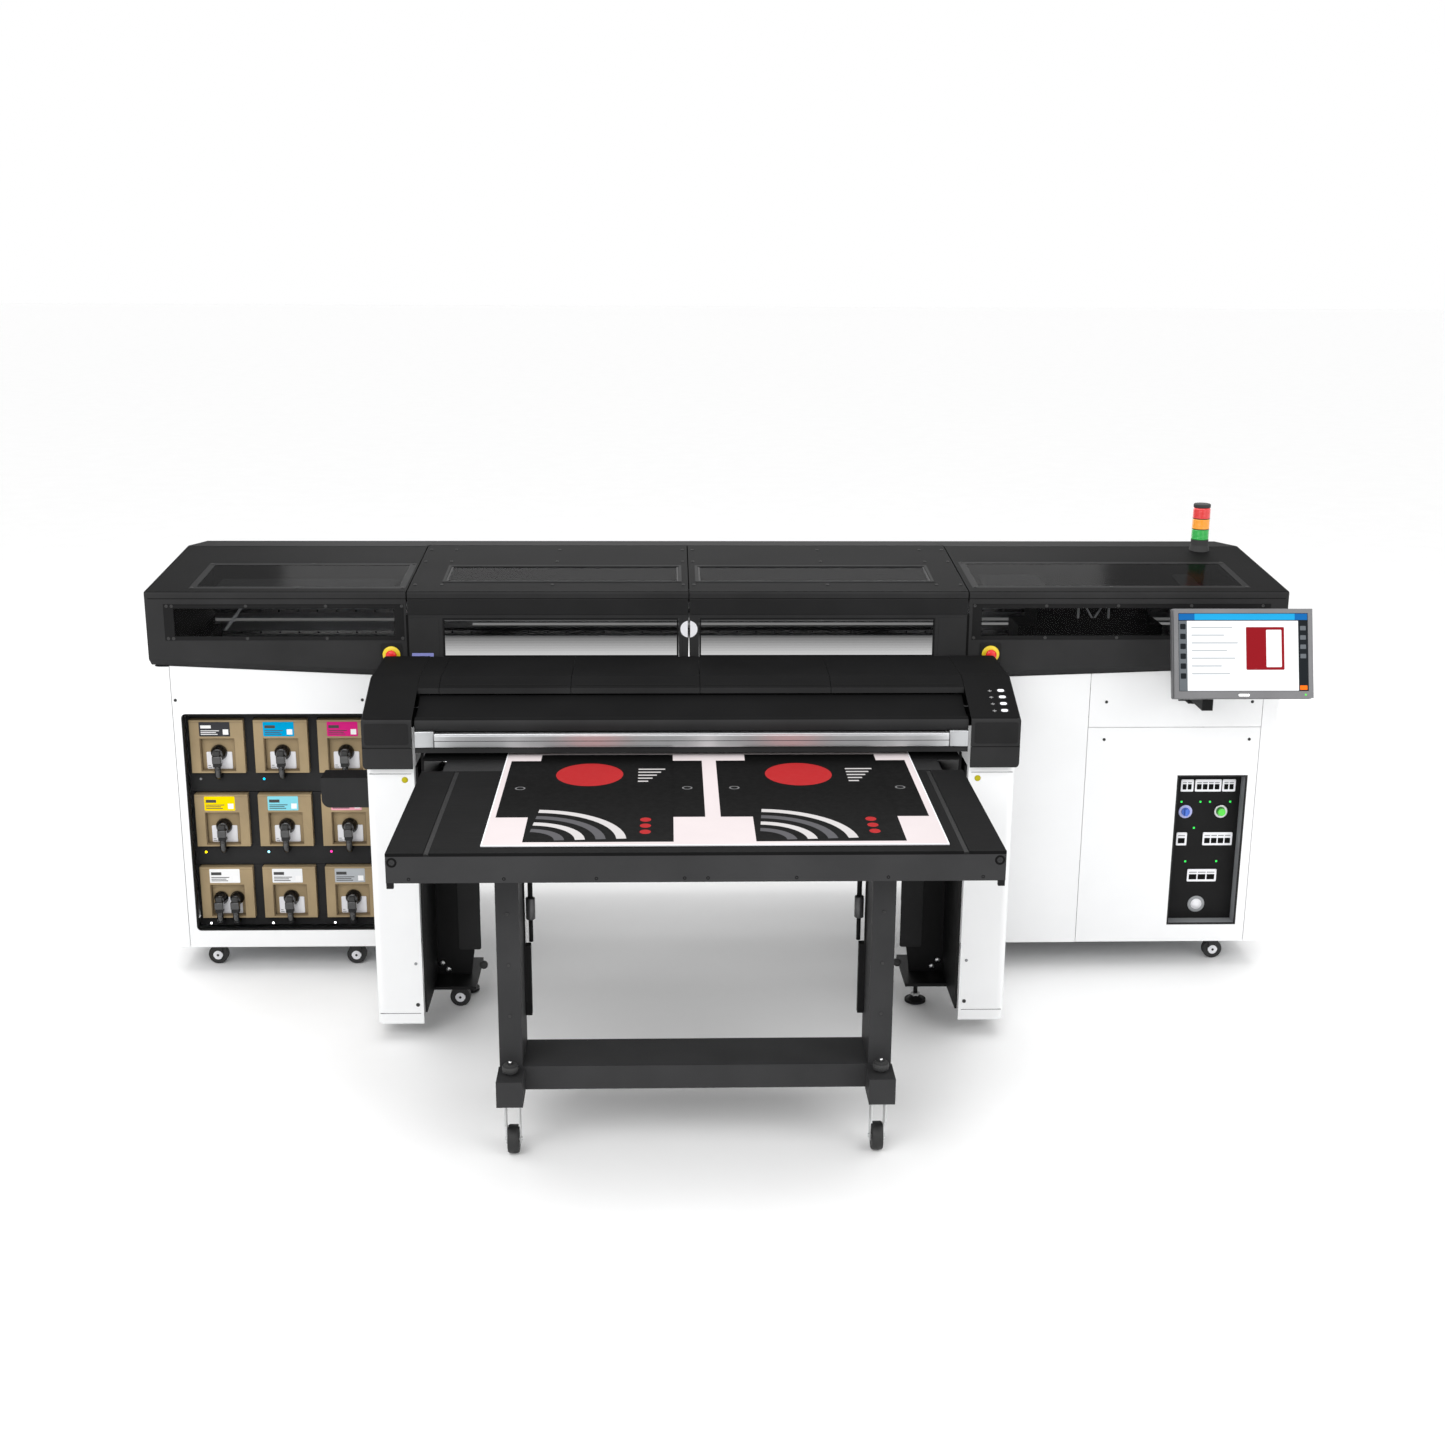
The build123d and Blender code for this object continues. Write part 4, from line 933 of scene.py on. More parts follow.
@dataclass(frozen=True)
class BaySizes:
    """What shows through the end windows: trays, liners, a slanting stay and a hanger."""

    trays: tuple[Box, ...] = (
        (-1789, -1122, 88, 247), (1125, 1362, 121, 308), (1889, 1961, 121, 308),
    )
    tray_depth: tuple[float, float] = (-22, -18)
    sills: tuple[tuple[float, float, float], ...] = ((-2012, -1938, 1235), (2188, 2248, 1223.5))
    sill_y: tuple[float, float] = (4, 928)
    liners: tuple[Box, ...] = (
        (-1939.5, -1936, 1031, 1238), (2185, 2188.5, 1031, 1226),
        (-2006, -2002, 1190, 1440), (2240, 2244, 1180, 1440),
    )
    liner_y: tuple[float, float] = (6, 926)
    stay_y: float = 30
    stay_thick: float = 6
    stay: Profile = ((-1752, 1368), (-1738, 1368), (-1672, 1456), (-1686, 1456))
    hanger: tuple[Box, ...] = (
        (1469, 1593, 1456, 1464), (1469, 1477, 1412, 1456), (1585, 1593, 1412, 1456),
    )
    fork_x: float = 1531
    fork: Profile = ((34, 1456), (26, 1456), (1, 1414), (9, 1414))


@dataclass(frozen=True)
class TrimSizes:
    """Raised bands, seams, marks and stop buttons of the covers."""

    band: tuple[float, float] = (1440, 1497)
    seam: tuple[float, float] = (1499, 1501.5)
    lower_edge: tuple[float, float] = (1263, 1270)
    pillar: tuple[float, float] = (1280, 1428)
    lid_seam: tuple[float, float] = (8, 16)
    end_lid_seam: tuple[float, float] = (10, 14)
    rear_seam: tuple[float, float] = (664, 672)
    glass_frame: tuple[float, float, float, float] = (137, 371, 149, 359)
    lamp: tuple[float, float] = (60, 76)
    lamp_strip: tuple[float, float] = (63, 73)
    ends: tuple[tuple[float, float], ...] = ((-2010, -1058), (1046, 2244))
    slots: tuple[float, float] = (-1056.5, 1044.5)
    slot_z: tuple[float, float] = (1262, 1440)
    mark: tuple[float, float, float] = (-6, 1384, 32)
    strip: Box = (-1043, -962, 1280, 1293)
    stops: tuple[tuple[float, str, str], ...] = (
        (-1119, "stop_button_left", "estop_left"), (1134, "stop_button_right", "estop_right"),
    )
    stop_z: float = 1287
    stop_plate: Box = (-39, 39, 1251, 1329)
    stop_ring: Profile = (
        (9, 4.0), (33, 4.0), (33, 6.8), (31, 8.2), (20, 8.4), (16, 9.6), (9, 9.6),
    )
    stop_head: Profile = (
        (7.5, -20), (7.5, 12), (17, 13), (20, 15.5), (20.3, 20), (19, 25.5), (13, 28.3), (0, 29),
    )


@dataclass(frozen=True)
class ScrewPlaces:
    """Socket screw and where it stands on panels, window borders and hoods."""

    profile: Profile = ((6, 0), (6, 1.1), (5.2, 1.9), (2.9, 2.0), (2.9, 0.7), (0, 0.6))
    panel: Profile = (
        (-1944, 1104), (-1242, 1104), (1596, 1090), (2161, 1090), (1596, 940), (2161, 940),
    )
    window_x: tuple[float, ...] = (-1943, -1924, -1651, -1356, -1075, 1068, 1339, 1611, 1888, 2160)
    window_z: tuple[float, float] = (1349.5, 1472)
    inset: float = 12
    sunk: float = -0.5
    hoods: tuple[tuple[str, tuple[float, ...]], ...] = (
        ("hood_l", (-1036, -935, -520, -26)), ("hood_r", (14, 520, 935, 1026)),
    )
    hood_v: tuple[float, ...] = (100, 430, 610)
    seed: int = 11


@dataclass(frozen=True)
class Covers:
    """Windows, trims and fastenings of the end covers and hoods."""

    repeater: Repeater
    windows: WindowSizes = WindowSizes()
    bay: BaySizes = BaySizes()
    trims: TrimSizes = TrimSizes()
    screws: ScrewPlaces = ScrewPlaces()
    hoods: tuple[tuple[str, str, float, float], ...] = (
        ("hood_l", "hood_left_window", -1054, -8), ("hood_r", "hood_right_window", -4, 1042),
    )

    def build(self) -> None:
        """Builds every piece of the covers."""
        self._end_windows()
        for (body, node, x0, x1), glass in zip(self.hoods, self.windows.hood_glass):
            self._hood_window(body, node, glass)
            self._hood_trim(body, x0, x1, glass)
        self._end_trim()
        self._marks()
        self._stops()
        self._screws()

    def _end_windows(self) -> None:
        """Four tinted panes with black printed borders, and the bays behind them."""
        s = self.windows
        panes = Piece("end_panes")
        border = Piece("end_pane_borders")
        for x0, x1 in s.front:
            inner = (x0 + s.front_border, x1 - s.front_border, *s.clear_v)
            panes.block(COVER, *grown(inner, s.lap), *s.pane, PANE)
            outer = grown((x0, x1, *s.front_v), -s.clearance)
            border.frame(COVER, outer, inner, *s.border, BLACK_SATIN, 0.6)
        for box in s.top:
            inner = grown(box, -s.top_border)
            panes.block(LID, *grown(inner, s.lap), *s.pane, TOP_PANE)
            border.frame(LID, grown(box, -s.clearance), inner, *s.border, CHARCOAL_LIGHT, 0.6)
        self._bays()
        panes.done("machine", ["end_windows"])
        border.done("machine")

    def _bays(self) -> None:
        """Trays and liners inside the end covers, the slanting stay and the hanger."""
        s = self.bay
        trays = Piece("bay_trays")
        for box in s.trays:
            trays.pad(LID, *box, *s.tray_depth, FRAME_GREY, 6, 0.6)
        for x0, x1, z in s.sills:
            trays.block(Face.level(z), x0, x1, *s.sill_y, 0, 3, BLACK_DEEP)
        for x0, x1, z0, z1 in s.liners:
            trays.block(Face.level(0), x0, x1, *s.liner_y, z0, z1, BLACK_SATIN)
        inner = Face.front(s.stay_y)
        trays.prism(inner, s.stay, 0, s.stay_thick, FRAME_GREY, 0.5)
        for box in s.hanger:
            trays.block(inner, *box, 0, s.stay_thick, FRAME_GREY, 0.5)
        for way in (-1, 1):
            leg = [(s.fork_x + way * off, z) for off, z in s.fork]
            trays.prism(inner, leg, 1, s.stay_thick, FRAME_GREY, 0.5)
        trays.done("machine")

    def _hood_window(self, body: str, node: str, glass: tuple[float, float]) -> None:
        """Panes and rubber surrounds of one hood.

        Args:
            body: the hood's body.
            node: the frame node of its window.
            glass: x span of the glass.
        """
        s = self.windows
        panes = Piece(node + "_panes")
        seal = Piece(node + "_seals")
        for face, span, tint in ((COVER, s.hood_front_v, PANE), (LID, s.hood_top_v, TOP_PANE)):
            box = grown((*glass, *span), -s.clearance)
            panes.block(face, *box, *s.hood_pane, tint)
            seal.frame(face, box, grown(box, -s.seal_width), *s.hood_seal, BLACK_SATIN, 1.2)
        panes.done(body, [node])
        seal.done(body)

    def _hood_trim(self, body: str, x0: float, x1: float, glass: tuple[float, float]) -> None:
        """Raised band, lid seam and lit strip of one hood.

        Args:
            body: the hood's body.
            x0: left end of the hood.
            x1: right end of the hood.
            glass: x span of its glass.
        """
        s = self.trims
        trim = Piece(body + "_trim")
        trim.block(COVER, x0 + 1, x1 - 1, *s.band, -1, 2.6, CHARCOAL_LIGHT, 1.2)
        trim.block(COVER, x0 + 1, x1 - 1, *s.seam, -1, 0.5, BLACK_DEEP)
        trim.block(COVER, x0 + 1, x1 - 1, *s.lower_edge, -1, 1.6, CHARCOAL_LIGHT, 0.6)
        trim.block(LID, x0 + 1, x1 - 1, *s.lid_seam, -1, 0.5, BLACK_DEEP)
        for u0, u1 in ((x0 + 2, glass[0] - 14), (glass[1] + 14, x1 - 2)):
            trim.block(COVER, u0, u1, *s.pillar, -1, 1.1, CHARCOAL, 0.6)
        outer = (glass[0] - 12, glass[1] + 12, *s.glass_frame[:2])
        inner = (glass[0] - 1, glass[1] + 1, *s.glass_frame[2:])
        trim.frame(LID, outer, inner, -1, 1.6, CHARCOAL_LIGHT)
        trim.done(body)
        lamp = Piece(body + "_lamp")
        lamp.block(LID, x0 + 60, x1 - 60, *s.lamp, -19, -8, ALLOY, 1.5)
        lamp.block(LID, x0 + 66, x1 - 66, *s.lamp_strip, -20.5, -18.8, LED_STRIP)
        lamp.done(body)

    def _end_trim(self) -> None:
        """Seams of the end covers and the dark slots beside the hoods."""
        s = self.trims
        trim = Piece("cover_trims")
        for x0, x1 in s.ends:
            trim.block(COVER, x0, x1, *s.seam, -1, 0.4, BLACK_DEEP)
            trim.block(LID, x0, x1, *s.end_lid_seam, -1, 0.4, BLACK_DEEP)
            trim.block(LID, x0 + 8, x1 - 8, *s.rear_seam, -1.2, 0.6, CHARCOAL_LIGHT)
        for x in s.slots:
            trim.block(COVER, x - 4, x + 4, *s.slot_z, -1, 0.9, BLACK_DEEP)
        trim.done("machine")

    def _marks(self) -> None:
        """Plain disc, half on each hood, and the pale strip."""
        s = self.trims
        middle, height, radius = s.mark
        for body, side in (("hood_l", -1), ("hood_r", 1)):
            half = Piece(body + "_mark")
            arc = [math.radians(8 + 164 * n / 24) for n in range(25)]
            outline = [
                (middle + side * radius * math.sin(a), height + radius * math.cos(a)) for a in arc
            ]
            half.prism(COVER, outline, -1, 2.6, PLATE_WHITE, 0.8)
            half.done(body)
        strip = Piece("hood_strip")
        strip.pad(COVER, *s.strip, 0.6, 2.0, LILAC, 2)
        strip.done("hood_l")

    def _stops(self) -> None:
        """Yellow rings and red mushroom heads of the stop buttons."""
        s = self.trims
        u0, u1, v0, v1 = s.stop_plate
        for x, body, node in s.stops:
            ring = Piece(node + "_ring")
            ring.pad(COVER, x + u0, x + u1, v0, v1, 2.8, 4.2, CHARCOAL_LIGHT, 6, 0.5)
            ring.turned(COVER, x, s.stop_z, s.stop_ring, YELLOW, 48)
            ring.done("machine")
            head = Piece(node + "_head")
            head.turned(COVER, x, s.stop_z, s.stop_head, STOP_RED, 48)
            head.done(body, [node])

    def _screws(self) -> None:
        """Socket screws in the panels, window borders and hoods."""
        s = self.screws
        spots = [(PANEL.at(x, z), PANEL.w) for x, z in s.panel]
        for x in s.window_x:
            spots += [(COVER.at(x, z, s.sunk), PANEL.w) for z in s.window_z]
        for x0, x1, v0, v1 in self.windows.top:
            middle, step = (x0 + x1) / 2, (x1 - x0) / 2 - s.inset
            for n in (-1, 0, 1):
                for v in (v0 + s.inset, v1 - s.inset):
                    spots.append((LID.at(middle + n * step, v, s.sunk), LID.w))
        master = Master("socket_screw", lambda piece, face: piece.turned(
            face, 0, 0, s.profile, BLACK_PLASTIC, 18))
        self.repeater.stand(
            "panel_and_window_screws", master, spots, BLACK_PLASTIC, "machine", "screw_black",
            stands_for=["panel_screws"],
        )
        for body, places in s.hoods:
            tops = [(LID.at(x, v, 0.1), LID.w) for x in places for v in s.hood_v]
            self.repeater.stand(
                body + "_screws", master, tops, BLACK_PLASTIC, body, "screw_black", s.seed)
        master.close()


# ------------------------------------------------------------------------------ print engine
@dataclass(frozen=True)
class PrintEngine:
    """Beam that the carriage runs on, its rails, chain, drip apron, and the platen's holes."""

    repeater: Repeater
    x0: float = -1960
    x1: float = 2210
    front: float = 740
    back: float = 830
    low: float = 1180
    high: float = 1330
    ribs: tuple[tuple[float, float], ...] = ((1180, 1190), (1222, 1246), (1252, 1280), (1312, 1330))
    rails: tuple[float, float] = (1205, 1295)
    rail_profile: Profile = (
        (-7, 0), (7, 0), (7, 5), (4, 7), (4, 9), (7, 11), (7, 15), (-7, 15), (-7, 11), (-4, 9),
        (-4, 7), (-7, 5),
    )
    band_z: tuple[float, float] = (1250, 1262)
    lit_band: tuple[float, float, float] = (-898, 1231, 1241)
    apron_x: tuple[float, float] = (-1040, 1030)
    apron_high: float = 1186
    apron_depth: float = 88
    apron_shades: int = 8
    # glow of the apron's top band and its rise per band: painted light
    apron_painted_glow: tuple[float, float] = (6.0, 2.6)
    # black strip over the lower rail zone: painted shadow
    apron_painted_shadow: tuple[float, float] = (1192, 1219)
    bolt: Profile = ((4, 0), (4, 1.4), (1.8, 1.4), (1.8, 0.3), (0, 0.3))
    bolt_count: int = 53
    links: int = 96
    chain_length: float = 3000
    hole: Profile = ((3.4, 0), (3.4, 0.25), (2.2, 0.3), (0, 0.25))
    hole_counts: tuple[int, int] = (44, 12)
    hole_margin: float = 60
    hole_depth: float = 780

    def build(self) -> None:
        """Builds the beam and what is fixed round it."""
        self._beam()
        self._apron()
        self._bolts()
        self._chain()
        self._platen()

    def _beam(self) -> None:
        """Extruded beam with two rails and two glowing bands of painted highlight."""
        face = Face.front(self.front)
        beam = Piece("print_beam_profile")
        span = (self.x0, self.x1)
        beam.block(face, *span, self.low, self.high, self.front - self.back, -6, ALLOY, 1.5)
        for low, high in self.ribs:
            beam.block(face, *span, low, high, -7, 0, ALLOY, 0.8)
        for rail in self.rails:
            side = Face(self.x1, self.front, rail, u=Vector((0, 0, 1)), v=Vector((0, -1, 0)))
            beam.prism(side, self.rail_profile, 0, self.x0 - self.x1, BRIGHT)
        # painted highlight: two glowing bands across the beam face
        beam.block(face, *span, *self.band_z, 0, 1.2, BEAM_PAINTED_HIGHLIGHT)
        left, low, high = self.lit_band
        beam.block(face, left, self.x1, low, high, 0, 1.4, BAND_LIT)
        beam.done("machine", ["print_beam"])

    def _apron(self) -> None:
        """Drip apron under the beam, glowing more strongly towards its foot: painted light."""
        face = Face.front(self.front)
        apron = Piece("beam_apron")
        step = self.apron_depth / self.apron_shades
        for n in range(self.apron_shades):
            low = self.apron_high - (n + 1) * self.apron_depth / self.apron_shades
            # painted light: each band of the apron glows, brighter towards the foot
            lit = Finish(
                f"apron_{n + 1}", (0.05, 0.05, 0.05), 0.5, Grain.BRUSHED, drift=0.04,
                glow=self.apron_painted_glow[0] + self.apron_painted_glow[1] * n, specular=0.02,
            )
            apron.block(face, *self.apron_x, low, low + step, -4, 0, lit)
        # painted shadow: black strip across the beam over the lower rail
        apron.block(face, *self.apron_x, *self.apron_painted_shadow, -1, 0.8, BLACK_DEEP)
        apron.done("machine")

    def _bolts(self) -> None:
        """Sunk bolts along both rails."""
        face = Face.front(self.front)
        bolts = Master("rail_bolt", lambda piece, f: piece.turned(
            f, 0, 0, self.bolt, BLACK_PLASTIC, 12))
        for n, rail in enumerate(self.rails):
            self.repeater.lay(
                f"rail_bolts_{n + 1}", bolts, face, ((self.x0 + self.x1) / 2, rail, 15),
                (self.bolt_count, 1), (self.x1 - self.x0 - 60, 0), BLACK_PLASTIC, "machine",
                "screw_black",
            )
        bolts.close()

    def _chain(self) -> None:
        """Tray on the beam with the energy chain laid in it."""
        tray = Piece("chain_tray")
        top = Face.level(self.high)
        span = (self.x0 + 40, self.x1 - 40)
        lip, rear = self.front + 42, self.back + 30
        tray.block(top, *span, lip, rear, 0, 4, GRAPHITE, 0.6)
        tray.block(top, *span, lip, lip + 3, 4, 22, GRAPHITE)
        tray.block(top, *span, rear - 3, rear, 4, 60, GRAPHITE)
        tray.done("machine")

        def link(piece: Piece, face: Face) -> None:
            """One link: two side plates and two cross bars.

            Args:
                piece: the piece to add to.
                face: the face that it stands on.
            """
            for y in (-26, 22):
                piece.block(face, -13, 15, y, y + 4, 0, 30, BLACK_PLASTIC, 0.8)
            for z in (0, 26):
                piece.block(face, -8, 4, -22, 22, z, z + 4, BLACK_PLASTIC, 0.6)

        links = Master("chain_link", link)
        self.repeater.lay(
            "energy_chain", links, top, (-40, self.back - 14, 4.5), (self.links, 1),
            (self.chain_length, 0), BLACK_PLASTIC, "machine", "black_plastic",
        )
        links.close()

    def _platen(self) -> None:
        """Suction holes of the platen."""
        node = Span.of("platen")
        hole = Master("suction_hole", lambda piece, f: piece.turned(
            f, 0, 0, self.hole, BLACK_DEEP, 10))
        size = (
            node.x1 - node.x0 - self.hole_margin,
            min(node.y1 - node.y0 - self.hole_margin, self.hole_depth),
        )
        self.repeater.lay(
            "platen_holes", hole, Face.level(node.z1), (node.mid_x, node.mid_y, 0),
            self.hole_counts, size, BLACK_DEEP, "machine", "black_steel",
        )
        hole.close()


# ------------------------------------------------------------------------------ ink bay
class Ink(Enum):
    """Colour of a carton's label."""

    DARK = (0.045, 0.045, 0.05)
    CYAN = (0.0, 0.33, 0.62)
    MAGENTA = (0.62, 0.02, 0.20)
    YELLOW = (0.90, 0.66, 0.0)
    PALE_CYAN = (0.22, 0.62, 0.72)
    PALE_MAGENTA = (0.78, 0.34, 0.42)
    WHITE = (0.82, 0.82, 0.82)
    CLEAR = (0.76, 0.77, 0.78)
    SILVER = (0.40, 0.42, 0.44)


@dataclass(frozen=True)
class CartonSizes:
    """Carton, its sunk front, label and coupler, and its place in the rack."""

    width: float = 206
    height: float = 210
    depth: float = 350
    face: float = 45
    pitch: float = 243
    first: float = -1914
    rows: tuple[float, float, float] = (803, 505, 208)
    sunk_width: float = 133
    sunk_height: float = 132
    sunk_depth: float = 26
    sunk_edge: float = 3.2
    sill: float = 6
    label: Box = (38, 155, 146, 203)
    title: Box = (44, 84, 178, 190)
    tick: Box = (128, 149, 153, 174)
    plate: Box = (54, 152, 10, 78)
    coupler: float = 76
    hose: float = 12.5
    hose_path: Profile = ((30, 50), (30, 8), (31, -3), (36, -11), (44, -14), (64, -14))


@dataclass(frozen=True)
class InkCarton:
    """One ink carton with its label, white plate, couplers and hoses."""

    number: int
    ink: Ink
    couplers: tuple[float, ...]
    sizes: CartonSizes

    @property
    def x(self) -> float:
        """Left edge of the carton."""
        return self.sizes.first + self.sizes.pitch * ((self.number - 1) % 3)

    @property
    def z(self) -> float:
        """Underside of the carton."""
        return self.sizes.rows[(self.number - 1) // 3]

    @property
    def body(self) -> str:
        """The frame body that the carton slides on."""
        return f"ink_box_{self.number}"

    @property
    def node(self) -> str:
        """The frame node that the carton stands for."""
        return f"ink_carton_{self.number}"

    def build(self) -> None:
        """Builds the carton's pieces on its own body."""
        self._card()
        self._label()
        self._coupler()

    def _moved(self, box: Box) -> Box:
        """A rectangle given from the carton's lower left corner."""
        return (self.x + box[0], self.x + box[1], self.z + box[2], self.z + box[3])

    def _card(self) -> None:
        """Card with the sunk front, cut edges and tape."""
        s, x, z = self.sizes, self.x, self.z
        floor = Face.front(s.face + s.sunk_depth)
        outer = (x + 1, x + s.width - 1, z, z + s.height)
        middle, half = x + s.width / 2, s.sunk_width / 2
        inner = (middle - half, middle + half, z + s.sill, z + s.sill + s.sunk_height)
        card = Piece(self.node + "_card")
        card.frame(floor, outer, inner, 0, s.sunk_depth, CARD)
        card.block(floor, *outer, s.sunk_depth - s.depth, 0, CARD)
        card.frame(floor, inner, grown(inner, -s.sunk_edge), 0, s.sunk_depth - 5, CARD_EDGE)
        top = z + s.height
        card.block(Face.front(s.face), x + 2, x + s.width - 2, top - 9, top - 8, 0, 0.4, CARD_EDGE)
        card.done(self.body, [self.node])

    def _label(self) -> None:
        """Coloured label with plain bars, and the white plate in the recess."""
        s, x, z = self.sizes, self.x, self.z
        colour = coloured("label_" + self.ink.name.lower(), self.ink.value)
        front = Face.front(s.face)
        label = Piece(self.node + "_label")
        label.pad(front, *self._moved(s.label), 0, 0.7, colour, 3)
        mark = LABEL_PALE if sum(self.ink.value) < 0.5 else LABEL_INK
        bar_pattern(label, front, x + 44, z + 153, (64, 58, 70), 7, 3, 0.6, mark)
        label.block(front, *self._moved(s.title), 0.6, 0.95, mark)
        label.block(front, *self._moved(s.tick), 0.6, 0.95, LABEL_PALE)
        floor = Face.front(s.face + s.sunk_depth)
        label.pad(floor, *self._moved(s.plate), 0, 3, PLATE_WHITE, 4, 0.5)
        bar_pattern(label, floor, x + 58, z + 14, (14, 10), 8, 3, 2.9, FRAME_GREY)
        label.done(self.body)

    def _coupler(self) -> None:
        """Round coupler, latch and the hose that bends down and back."""
        s, z = self.sizes, self.z
        floor = Face.front(s.face + s.sunk_depth)
        parts = Piece(self.node + "_coupler")
        wide = 27 if len(self.couplers) > 1 else 31
        profile = [
            (wide, 0), (wide, 9), (wide - 4, 12), (wide - 4, 18), (wide - 9, 20), (wide - 9, 34),
            (wide - 12, 36), (0, 36),
        ]
        for offset in self.couplers:
            at = self.x + s.width / 2 + offset
            parts.turned(floor, at, z + s.coupler, profile, COUPLER, 40)
            parts.turned(floor, at, z + s.coupler, ((9, 35), (9, 41), (7, 43), (0, 43)), GRAPHITE, 24)
            parts.block(floor, at - 17, at + 17, z + 44, z + 74, 34, 57, COUPLER, 3)
            parts.block(floor, at - 12, at + 12, z + 72, z + 92, 34, 52, BLACK_PLASTIC, 3)
            parts.tube([place(at, y, z + rise) for y, rise in s.hose_path], s.hose, COUPLER)
            parts.block(floor, at - 15, at + 15, z + 30, z + 46, 28, 55, GRAPHITE, 2)
        parts.done(self.body)


@dataclass(frozen=True)
class InkBay:
    """Nine cartons, the small lamps under them and the rim of the opening."""

    sizes: CartonSizes = CartonSizes()
    inks: tuple[tuple[Ink, Ink | None], ...] = (
        (Ink.DARK, None), (Ink.CYAN, Ink.CYAN), (Ink.MAGENTA, None),
        (Ink.YELLOW, Ink.YELLOW), (Ink.PALE_CYAN, Ink.PALE_CYAN), (Ink.PALE_MAGENTA, Ink.MAGENTA),
        (Ink.WHITE, Ink.WHITE), (Ink.CLEAR, Ink.WHITE), (Ink.SILVER, Ink.WHITE),
    )
    twin: int = 7
    twin_couplers: tuple[float, ...] = (-31.0, 31.0)
    lamp: tuple[float, float] = (26, -30)
    lamp_ring: Profile = ((7, 0), (7, 1.6), (5.5, 2.4), (5, 2.4))
    lamp_lens: Profile = ((4.6, 0), (4.6, 2.6), (3, 3.4), (0, 3.6))
    opening: Box = (-1928, -1196, 171, 1050)
    rim: float = 6.5

    def build(self) -> None:
        """Builds the cartons, the lamps and the rim."""
        lamps = Piece("ink_lamps")
        rack = Face.front(Span.of("ink_rack").y0)
        for number, (ink, lit) in enumerate(self.inks, 1):
            couplers = self.twin_couplers if number == self.twin else (0.0,)
            carton = InkCarton(number, ink, couplers, self.sizes)
            carton.build()
            glow = coloured("lamp_" + lit.name.lower(), lit.value, 3.0) if lit else FRAME_GREY
            at = (carton.x + self.lamp[0], carton.z + self.lamp[1])
            lamps.turned(rack, *at, self.lamp_ring, BLACK_PLASTIC, 24)
            lamps.turned(rack, *at, self.lamp_lens, glow, 20)
        lamps.done("machine")
        rim = Piece("ink_bay_rim")
        rim.frame(Face.front(2), self.opening, grown(self.opening, -self.rim), -14, -1.4, BLACK_SATIN)
        rim.done("machine")


